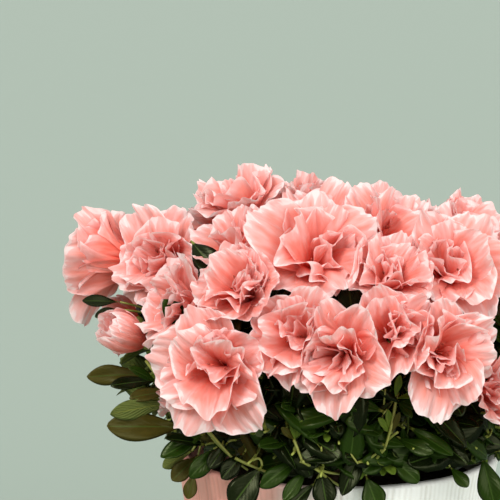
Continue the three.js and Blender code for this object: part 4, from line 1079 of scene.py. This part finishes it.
def whorl(ends, axes, count, spreads, lengths, step, sag, rng):
    """Leaves round shoots' ends, each a golden angle on from the last: their roots, directions, upper
    normals, lengths, droops and the number of the shoot that each stands on."""
    shoot = np.repeat(np.arange(len(ends)), count)
    i = np.tile(np.arange(count), len(ends))
    side, other = square_to(axes)
    turn = (rng.uniform(0, 2 * np.pi, len(ends))[shoot] + np.radians(GOLDEN_ANGLE) * i)[:, None]
    out = side[shoot] * np.cos(turn) + other[shoot] * np.sin(turn)
    angle = np.radians(mix(*spreads, rng.random(len(shoot))))[:, None]
    axis = axes[shoot]
    direction = unit(axis * np.cos(angle) + out * np.sin(angle) - UP * sag)
    root = ends[shoot] - axis * (1 + step * i)[:, None]
    normal = across_axis(axis * 0.8 + UP * 0.6, direction)
    length = mix(*lengths, rng.random(len(shoot)))
    return root, direction, normal, length, mix(*DROOPS, rng.random(len(shoot))), shoot


class AZALEA_OT_twigs(bpy.types.Operator):
    """Stems, twigs and shoots: round tubes along quadratic curves, thinner towards their tips. Each mass's
    stem grows on from its bough, a twig goes from it to each blossom, and shoots leave for the leaves."""

    bl_idname = "azalea.twigs"
    bl_label = "Twigs and shoots"

    def execute(self, context):
        look = context.scene.azalea_wood
        bark = wood_material("twig_bark", look.bark, look.shoot, 0.6)
        green = plain_material("green_shoot", look.shoot, look.shoot_dark, 6.0, 0.5, 0.2)
        ends = CALYX - AXIS * TWIG_SINK
        bends = mix(FORK, ends, TWIG_BEND) * 0.4 + (ends - AXIS * TWIG_RUN) * 0.6
        *_, leafy, side_leafy = leaf_plan(context.scene.azalea_leaf)
        shoots, side_shoots = [a[leafy] for a in SHOOTS[:3]], [a[side_leafy] for a in SIDE_SHOOTS[:3]]
        thick, thin = look.twig_root, look.twig_tip
        wood = [
            self.grown(STEMS, 8, 1.9, 1.6, 8),
            self.grown((STEMS[2][MASS], bends, ends), 10, thick, thin, 6),
            self.grown(shoots, 10, thick * 0.85, thin * 0.85, 5),
        ]
        young = [
            self.grown(side_shoots, 5, 0.75, 0.5, 5),
            self.grown(FRONT_TWIGS, 8, 0.8, 0.6, 6),
            self.grown(front_stem_plan(), 10, 0.95, 0.7, 6),
        ]
        put_piece("twigs", joined(wood), [bark])
        put_piece("young_shoots", joined(young), [green])
        return {"FINISHED"}

    def grown(self, curves, steps, thick, thin, sides):
        """Tapered tubes along curves."""
        return *tubes(bezier(*curves, steps), np.linspace(thick, thin, steps + 1)[None], sides), 0


def leaf_shell(columns, rows):
    """A leaf's grid: its places u across and v along, which points the lower sheet has of its own, as the
    sheets share their rim, the triangles of both sheets, their material numbers, and the points' places on
    the pattern."""
    columns, rows = np.array(columns), np.array(rows)
    shape = len(columns), len(rows)
    top = np.arange(columns.size * rows.size).reshape(shape)
    top[:, -1] = top[0, -1]
    own = np.zeros(shape, dtype=bool)
    own[1:-1, 1:-1] = True
    low = top.copy()
    low[own] = top.size + np.arange(own.sum())
    plain = grid_triangles(*shape)
    upper, lower = top.ravel()[plain][:, ::-1], low.ravel()[plain]
    upper, lower = (t[(t != np.roll(t, 1, axis=1)).all(axis=1)] for t in (upper, lower))
    place = np.stack(np.meshgrid((columns + 1) / 2, rows, indexing="ij"), -1)
    return {
        "columns": columns,
        "rows": rows,
        "own": own,
        "triangles": np.vstack([upper, lower]),
        "kinds": np.repeat([0, 1], [len(upper), len(lower)]),
        "uv": np.vstack([place.reshape(-1, 2), place[own]]),
    }


# dark is painted shade, a darker copy of the green for leaves deep in the crown
LEAF_NAMES = ["dark", "green", "olive", "young"]
LEAF = leaf_shell([-1, -0.5, 0, 0.5, 1], [0, 0.1, 0.32, 0.58, 0.8, 0.94, 1])
FRONT_LEAF = leaf_shell(np.linspace(-1, 1, 9), 1 - (1 - np.linspace(0, 1, 17)) ** 1.3)


def leaf_points(grid, root, direction, normal, length, droop, slimness, rng):
    """Leaves as a function of u across and v along. The half width is a sine of v, widest past the middle,
    after a narrow stalk. The midrib bends down with v squared, the halves fold up from it and curl down at
    their margins, and the blade waves a little along its length."""
    count = len(root)
    u, v = grid["columns"][:, None], grid["rows"]
    half = slimness[:, None, None] / 2 * np.sin(np.pi * ramp(v, 0.08, 1) ** 1.5) ** 0.68 + 0.022 * (1 - v)
    fold = rng.uniform(0.1, 0.5, (count, 1, 1))
    waves, phase = rng.uniform(0.8, 1.5, (count, 1, 1)), rng.random((count, 1, 1))
    wave = 0.025 * np.sin(2 * np.pi * (v * waves + phase)) * u
    twist = rng.uniform(-0.35, 0.35, (count, 1, 1)) * v * u * half
    lift = half * (fold * np.abs(u) - 0.55 * fold * u**4) - droop[:, None, None] * v**2 + wave + twist
    direction, side, normal = (way[:, None, None] for way in (direction, np.cross(direction, normal), normal))
    shape = v[:, None] * direction + (u * half)[..., None] * side + lift[..., None] * normal
    points = root[:, None, None] + length[:, None, None, None] * shape
    low = points - LEAF_THICKNESS * normal
    return np.concatenate([points.reshape(count, -1, 3), low[:, grid["own"]]], axis=1)


def leaf_plan(look):
    """Every leaf's points and colour number, those of the leaves that were placed one by one at the front,
    and whether each shoot and each side shoot carries any. The leaves stand in whorls at the shoots' ends and
    under the blossom. One that would reach into a blossom, the pot or past the crown's reach is left out, and
    so are a share of the sprays, for dark gaps."""
    rng = np.random.default_rng(look.seed)
    lengths = (look.shortest, look.longest)
    smaller = tuple(SIDE_LEAF_SHARE * length for length in lengths)
    ends, axes = SHOOTS[2], SHOOTS[3]
    sets = [
        whorl(ends, axes, 6, (50, 92), lengths, 0.8, 0.2, rng),
        whorl(SIDE_SHOOTS[2], SIDE_SHOOTS[3], 4, (40, 85), smaller, 0.7, 0.15, rng),
        whorl(CALYX - AXIS * 5, AXIS, 6, (70, 105), lengths, 1.5, 0.05, rng),
        whorl(ends, axes, 3, (14, 34), (9, 17), 0.2, 0, rng),
    ]
    starts = np.cumsum([0] + [1 + int(leaves[5].max()) for leaves in sets])
    kind = np.concatenate([np.full(len(leaves[0]), k) for k, leaves in enumerate(sets)])
    spray = np.concatenate([leaves[5] + starts[k] for k, leaves in enumerate(sets)])
    root, direction, normal, length, droop = (np.concatenate([s[k] for s in sets]) for k in range(5))
    points = leaf_points(LEAF, root, direction, normal, length, droop, np.array([look.slimness]), rng)
    tested = points[:, : LEAF["own"].size].reshape(len(points), *LEAF["own"].shape, 3)
    samples = np.concatenate([tested[:, 2, 2:], tested[:, 0, 2:5:2], tested[:, 4, 2:5:2]], axis=1)
    flat = samples.reshape(-1, 3)
    clear = clear_of_pot(flat, LEAF_CLEARANCE) & ~in_blossom(flat, BLOSSOM_CLEARANCE)
    low, high = 1000 * np.array(CAD_BOX)
    kept = clear.reshape(len(points), -1).all(axis=1) & np.all((points > low) & (points < high), axis=(1, 2))
    kept &= above_hem(points).all(axis=1) & ~in_open_side(points).any(axis=1)
    chance = np.random.default_rng(2).random(spray.max() + 1)[spray]
    kept &= np.where(kind == 3, chance < YOUNG_SHARE, (kind == 2) | (chance > LEAFLESS))
    front = leaf_points(FRONT_LEAF, *FRONT_SHAPES, rng)
    side_leafy = np.isin(np.arange(len(SIDE_SHOOTS[0])), spray[kept & (kind == 1)] - starts[1])
    carrying = np.concatenate([spray[kept & (kind == 0)], SIDE_SHOOTS[4][side_leafy], FRONT_PARENTS])
    leafy = np.isin(np.arange(len(ends)), carrying)
    return points[kept], leaf_tones(spray, root, kind)[kept], front, leafy, side_leafy


def leaf_tones(spray, root, kind):
    """Each spray's colour: young at the shoots' ends, olive more often low on the left, otherwise dark or
    green, greener towards the outside. The dark tone, more common inside the crown, is painted shade."""
    chance = np.random.default_rng(9).random(spray.max() + 1)[spray]
    first = np.zeros(spray.max() + 1, dtype=int)
    first[spray[::-1]] = np.arange(len(spray))[::-1]
    place = root[first][spray]
    left = ramp(place[:, 0], *OLIVE_LEFT) * ramp(place[:, 2], *OLIVE_HEIGHT)
    outer = np.clip(np.linalg.norm(place - FORK, axis=1) / CROWN_SPREAD, 0, 1)
    # painted shade: sprays further in take the dark tone more often
    tone = np.where(chance < GREEN_SHARE * outer**1.5, 1, 0)
    tone[chance < OLIVE_SHARES[0] + OLIVE_SHARES[1] * left] = 2
    return np.where(kind == 3, 3, tone)


class AZALEA_OT_leaves(bpy.types.Operator):
    """Leaves: closed shells of one outline in four plain colours that are dealt out by spray."""

    bl_idname = "azalea.leaves"
    bl_label = "Leaves"

    def execute(self, context):
        look = context.scene.azalea_leaf
        points, tones, front, _, _ = leaf_plan(look)
        front_tones = np.array([LEAF_NAMES.index(row[-1]) for row in FRONT_LEAVES])
        under = leaf_material("leaf_underside", look.under, look.stalk, look.stalk, 0.65, 0.3, 0.5)
        for tone, name in enumerate(LEAF_NAMES):
            colour = getattr(look, name)
            upper = leaf_material(f"leaf_{name}", colour, look.rib, look.stalk, 0.27, 0.2, 0.06)
            own, placed = points[tones == tone], front[front_tones == tone]
            faces = len(own) * len(LEAF["kinds"]) + len(placed) * len(FRONT_LEAF["kinds"])
            for part, chosen in enumerate(np.array_split(own, math.ceil(faces / MOST_TRIANGLES))):
                shapes = [self.sheets(LEAF, chosen)]
                if part == 0:
                    shapes.insert(0, self.sheets(FRONT_LEAF, placed))
                put_piece(f"leaves_{name}_{part + 1}", joined(shapes), [upper, under], MASS_NODES)
        return {"FINISHED"}

    def sheets(self, grid, points):
        """Leaves' points, triangles, places on the pattern and material numbers: 0 above and 1 below."""
        count, each = points.shape[:2]
        uv, kinds = np.tile(grid["uv"], (count, 1)), np.tile(grid["kinds"], count)
        return points.reshape(-1, 3), repeated(grid["triangles"], each, count), uv, kinds


# Waves across half a petal in radians: the ruffles, and the fine frill of the margin
RUFFLE = (9, 14)
FRILL = (24, 31)
PHASES = (0, 6.3)

# Each whorl of a double blossom: its petals' length, half width to length, where they start up and out from
# the calyx in mm, how their opening compares with the outer ones', their curl in radians at claw and margin,
# long folds and their height, how much petals differ in turn and in opening, in degrees, how far they lean
# sideways, which way the whorl is turned, how far its axis leans, in degrees, how round the corners are, the
# grid's points across and along, and how much paler it is
WHORLS = {
    "outer": dict(
        length=0.98, width=0.46, up=0, out=1.5, first=1, last=1, curl=(1.3, 0.25), folds=(0.5, 1.0),
        height=0.15, scatter=8, sway=12, tilt=0.08, stagger=0, lean=3, corner=0.5, grid=(51, 15), pale=0.02,
    ),
    "middle": dict(
        length=0.82, width=0.5, up=2, out=1, first=0.7, last=0.66, curl=(1.2, 0.6), folds=(0.5, 1.1),
        height=0.26, scatter=18, sway=24, tilt=0.18, stagger=0.5, lean=9, corner=0.4, grid=(45, 13), pale=0,
    ),
    "inner": dict(
        length=0.62, width=0.5, up=3, out=0.6, first=0.4, last=0.4, curl=(1.2, 1.0), folds=(0.4, 0.9),
        height=0.34, scatter=35, sway=34, tilt=0.35, stagger=0.2, lean=14, corner=0.34, grid=(37, 12), pale=0,
    ),
}


def petal_whorl(kind, look, seed):
    """The petals of one whorl of every blossom, as (petals, across, along, 3). The petal leaves the axis by
    an angle that grows evenly with the share s of its length, so the way out and up are its integrals. Its
    half width is a sine of s. Across it curls as an arc, long folds grow with s and short frills at the
    margin. Its corners are cut round by shortening s towards the sides, and waves notch the margin."""
    rng = np.random.default_rng(seed)
    bloom = np.repeat(np.arange(BLOOMS), PETALS)
    petals = len(bloom)

    def vary(low, high):
        return rng.uniform(low, high, (petals, 1, 1))

    openness = OPENNESS[bloom][:, None, None]
    bud = openness < BUD
    length = (OUTER_PETAL * 2 * RADIUS[bloom] * kind["length"])[:, None, None] * vary(0.9, 1.05)
    half_width = length * kind["width"] * vary(0.88, 1.1)
    number = np.tile(np.arange(PETALS), BLOOMS)
    turn = ROLL[bloom] + 2 * np.pi / PETALS * (number + kind["stagger"])
    turn = turn[:, None, None] + np.radians(vary(-1, 1) * kind["scatter"])
    first = np.where(bud, 1.0, (FIRST_ANGLE * openness + THROAT_ANGLE) * kind["first"])
    last = np.where(bud, -0.5, LAST_ANGLE * openness * kind["last"] + np.radians(vary(-1, 1) * kind["sway"]))
    u = np.linspace(-1, 1, kind["grid"][0])[:, None]
    v = 1 - (1 - np.linspace(0, 1, kind["grid"][1])) ** 1.25
    wave = vary(*RUFFLE) * u + np.sin(vary(2, 5) * u + vary(*PHASES)) + vary(*PHASES)
    fine = np.sin(vary(*FRILL) * u + 1.4 * np.sin(vary(3, 6) * u + vary(*PHASES)) + vary(*PHASES))
    fine = fine * (0.6 + 0.4 * np.sin(vary(3, 8) * u + vary(*PHASES)))
    corner = kind["corner"] * np.abs(u) ** 2.4
    s = v * (1 - corner * v**2 + (0.02 * np.cos(wave) + 0.014 * fine) * v**4)
    angle = first + (last - first) * s
    bend = np.where(np.abs(last - first) < 0.05, 0.05, last - first)
    out = kind["out"] + length * (np.cos(first) - np.cos(first + bend * s)) / bend
    rise = kind["up"] + length * (np.sin(first + bend * s) - np.sin(first)) / bend
    half = half_width * (0.16 + 0.84 * np.sin(0.6 * np.pi * s))
    curl = kind["curl"][0] * np.maximum(1 - s, 0) ** 1.5 + kind["curl"][1] * vary(0.5, 1.4) * s
    curl = np.where(bud, 1.5, curl)
    across = half * np.sin(curl * u) / curl
    lift = half * (1 - np.cos(curl * u)) / curl
    soft = np.where(bud, 0.15, 1)
    folds = kind["height"] * half_width * soft * look.folds * s**1.6
    lift += folds * np.sin(2 * np.pi * vary(*kind["folds"]) * u + vary(*PHASES))
    lift += 0.35 * folds * np.sin(2 * np.pi * vary(1.2, 1.9) * u + vary(*PHASES) + 2 * s)
    edge = s / (1 - corner)
    lift += look.ruffle * soft * ramp(edge, 0.45, 1) ** 1.6 * np.sin(wave)
    lift += look.frill * soft * ramp(edge, 0.6, 1) ** 1.5 * fine
    lift += 0.4 * soft * s**1.5 * np.sin(vary(15, 21) * u + vary(*PHASES) + vary(-3, 3) * s)
    lift += look.ruffle * soft * np.abs(u) ** 4 * np.sin(vary(9, 14) * s + np.sign(u) + vary(*PHASES)) * s
    lift += kind["tilt"] * vary(0.2, 1.3) * u * half
    lift += vary(-0.12, 0.2) * length * np.clip(s - 0.7, 0, 1) ** 2 * 3
    axis = unit(AXIS + rng.normal(size=(BLOOMS, 3)) * math.radians(kind["lean"]))[bloom]
    side, other = (way[:, None, None] for way in square_to(axis))
    axis, foot = axis[:, None, None], CALYX[bloom][:, None, None]
    radial = side * np.cos(turn)[..., None] + other * np.sin(turn)[..., None]
    outwards = (out - lift * np.cos(angle))[..., None] * radial
    upwards = (rise + lift * np.sin(angle))[..., None] * axis
    points = foot + (outwards + upwards + across[..., None] * np.cross(axis, radial))
    points = pressed(points.reshape(petals, -1, 3), bloom).reshape(points.shape)
    points[..., 2] -= 0.001 * np.sum((points - foot) ** 2, axis=-1)
    tile = rng.integers(0, TILES, petals)[:, None, None]
    place = np.stack(np.broadcast_arrays((tile + 0.03 + 0.94 * (u + 1) / 2) / TILES, v + 0 * u), -1)
    return within_box(points), place


class AZALEA_OT_petals(bpy.types.Operator):
    """The petals of every blossom, each whorl apart."""

    bl_idname = "azalea.petals"
    bl_label = "Petals"

    def execute(self, context):
        look = context.scene.azalea_blossom
        for number, (name, kind) in enumerate(WHORLS.items()):
            points, place = petal_whorl(kind, look, look.seed + number)
            petals, columns, rows = points.shape[:3]
            material = petal_material(f"azalea_petal_{name}", look, kind["pale"])
            sheet = grid_triangles(columns, rows)
            pieces = math.ceil(petals * len(sheet) / MOST_TRIANGLES)
            for part, chosen in enumerate(np.array_split(np.arange(petals), pieces)):
                faces = repeated(sheet, columns * rows, len(chosen))
                own, uv = points[chosen].reshape(-1, 3), place[chosen].reshape(-1, 2)
                shape = own, faces, uv, np.zeros(len(faces))
                put_piece(f"petals_{name}_{part + 1}", shape, [material], MASS_NODES)
        return {"FINISHED"}


class AZALEA_OT_hearts(bpy.types.Operator):
    """Stamens and calyces: filaments are thin tubes that curve up out of the throat, each with a bulged
    tube as its anther. The calyx is a short green cup round the blossom's foot."""

    bl_idname = "azalea.hearts"
    bl_label = "Stamens and calyces"

    def execute(self, context):
        look, wood = context.scene.azalea_blossom, context.scene.azalea_wood
        rng = np.random.default_rng(6)
        bloom = np.repeat(np.arange(BLOOMS), STAMENS)
        turn = 2 * np.pi / STAMENS * np.tile(np.arange(STAMENS), BLOOMS)
        turn = (turn + rng.uniform(-0.4, 0.4, len(bloom)))[:, None]
        axis = AXIS[bloom]
        side, other = square_to(axis)
        out = side * np.cos(turn) + other * np.sin(turn)
        length = (2 * RADIUS[bloom] * rng.uniform(0.2, 0.28, len(bloom)))[:, None]
        start = CALYX[bloom] + axis * 2 + out * 0.5
        tip = start + axis * length + out * length * rng.uniform(0.1, 0.3, (len(bloom), 1))
        bend = start + axis * length * 0.6 + out * 0.4
        filaments = tubes(bezier(start, bend, tip, 4), np.linspace(0.4, 0.28, 5)[None], 4)
        pods = tip[:, None] + unit(tip - bend)[:, None] * np.linspace(-0.4, 2.2, 4)[:, None]
        anthers = tubes(pods, np.array([[0.25, 0.6, 0.6, 0.2]]), 6)
        dark = plain_material("anther", look.anther, look.filament, 3.0, 0.6, 0.2)
        pink = plain_material("filament", look.filament, look.coral, 5.0, 0.5, 0.1)
        put_piece("stamens", joined([(*filaments, 1), (*anthers, 0)]), [dark, pink])
        cup = CALYX[:, None] + AXIS[:, None] * np.linspace(-5, 3, 6)[:, None]
        cups = tubes(cup, np.array([[0.9, 1.5, 2.6, 3.0, 2.9, 2.0]]), 10)
        green = plain_material("sepal", wood.shoot, wood.shoot_dark, 3.0, 0.5, 0.3)
        put_piece("calyces", (*cups, np.zeros(len(cups[1]))), [green])
        return {"FINISHED"}


class AZALEA_OT_stage(bpy.types.Operator):
    """A pale floor that runs out of view, three soft suns, even light from all round and the camera."""

    bl_idname = "azalea.stage"
    bl_label = "Floor, light and camera"

    def execute(self, context):
        look = context.scene.azalea_studio
        mesh = bpy.data.meshes.new("floor")
        reach = 30.0
        corners = [(-reach, -reach, 0), (reach, -reach, 0), (reach, reach, 0), (-reach, reach, 0)]
        mesh.from_pydata(corners, [], [(0, 1, 2, 3)])
        floor = bpy.data.objects.new("floor", mesh)
        material, tree = new_material("painted_floor")
        paint = add_node(tree, "BsdfPrincipled", {"Base Color": look.floor, "Roughness": 0.8})
        add_node(tree, "OutputMaterial", [paint])
        mesh.materials.append(material)
        context.scene.collection.objects.link(floor)
        # each sun's name, strength, width in degrees, azimuth and elevation
        for name, strength, spread, azimuth, elevation in [
            ("daylight", look.sun, 26, -35, 42),
            ("overhead", look.sky, 100, -20, 80),
            ("fill", look.fill, 60, 38, 8),
        ]:
            lamp = bpy.data.lights.new(name, "SUN")
            lamp.energy, lamp.angle = strength, math.radians(spread)
            self.aim(bpy.data.objects.new(name, lamp), 3 * towards(azimuth, elevation), np.zeros(3))
        context.scene.world = bpy.data.worlds.new("studio")
        context.scene.world.use_nodes = True
        air = context.scene.world.node_tree.nodes["Background"].inputs
        air["Color"].default_value, air["Strength"].default_value = look.air, look.glow
        lens = bpy.data.cameras.new("camera")
        lens.lens, lens.sensor_width = look.lens, SENSOR_WIDTH
        lens.clip_start, lens.clip_end = 0.05, 60
        camera = bpy.data.objects.new("camera", lens)
        back = np.array([0, -math.cos(look.elevation), math.sin(look.elevation)])
        target = VIEW_TARGET * MM
        self.aim(camera, target + back * look.distance, target)
        context.scene.camera = camera
        context.scene.view_settings.view_transform = "Standard"
        return {"FINISHED"}

    def aim(self, thing, place, target):
        """Puts a light or the camera at a place and turns it to look at a point."""
        thing.location = place
        way = type(thing.location)(target) - thing.location
        thing.rotation_euler = way.to_track_quat("-Z", "Y").to_euler()
        bpy.context.scene.collection.objects.link(thing)


class AZALEA_PT_panel(bpy.types.Panel):
    """The azalea's pieces and their settings."""

    bl_idname = "AZALEA_PT_panel"
    bl_label = "Potted azalea"
    bl_space_type = "VIEW_3D"
    bl_region_type = "UI"
    bl_category = "Azalea"

    def draw(self, context):
        for operator in OPERATORS:
            self.layout.operator(operator.bl_idname)
        for name in GROUPS:
            box = self.layout.box()
            group = getattr(context.scene, name)
            for key in group.__annotations__:
                box.prop(group, key)


OPERATORS = (
    AZALEA_OT_pot,
    AZALEA_OT_compost,
    AZALEA_OT_limbs,
    AZALEA_OT_twigs,
    AZALEA_OT_leaves,
    AZALEA_OT_petals,
    AZALEA_OT_hearts,
    AZALEA_OT_stage,
)
GROUPS = {
    "azalea_pot": AzaleaPot,
    "azalea_wood": AzaleaWood,
    "azalea_leaf": AzaleaLeaf,
    "azalea_blossom": AzaleaBlossom,
    "azalea_studio": AzaleaStudio,
}


def register():
    """Registers the settings, the operators and the panel."""
    for name, group in GROUPS.items():
        bpy.utils.register_class(group)
        setattr(bpy.types.Scene, name, PointerProperty(type=group))
    for made in (*OPERATORS, AZALEA_PT_panel):
        bpy.utils.register_class(made)


def unregister():
    """Takes the panel, the operators and the settings away again."""
    for made in (AZALEA_PT_panel, *reversed(OPERATORS)):
        bpy.utils.unregister_class(made)
    for name, group in reversed(GROUPS.items()):
        delattr(bpy.types.Scene, name)
        bpy.utils.unregister_class(group)


def main():
    """Makes every piece in order."""
    register()
    for operator in OPERATORS:
        getattr(bpy.ops.azalea, operator.bl_idname.split(".")[1])()


if __name__ == "__main__":
    main()
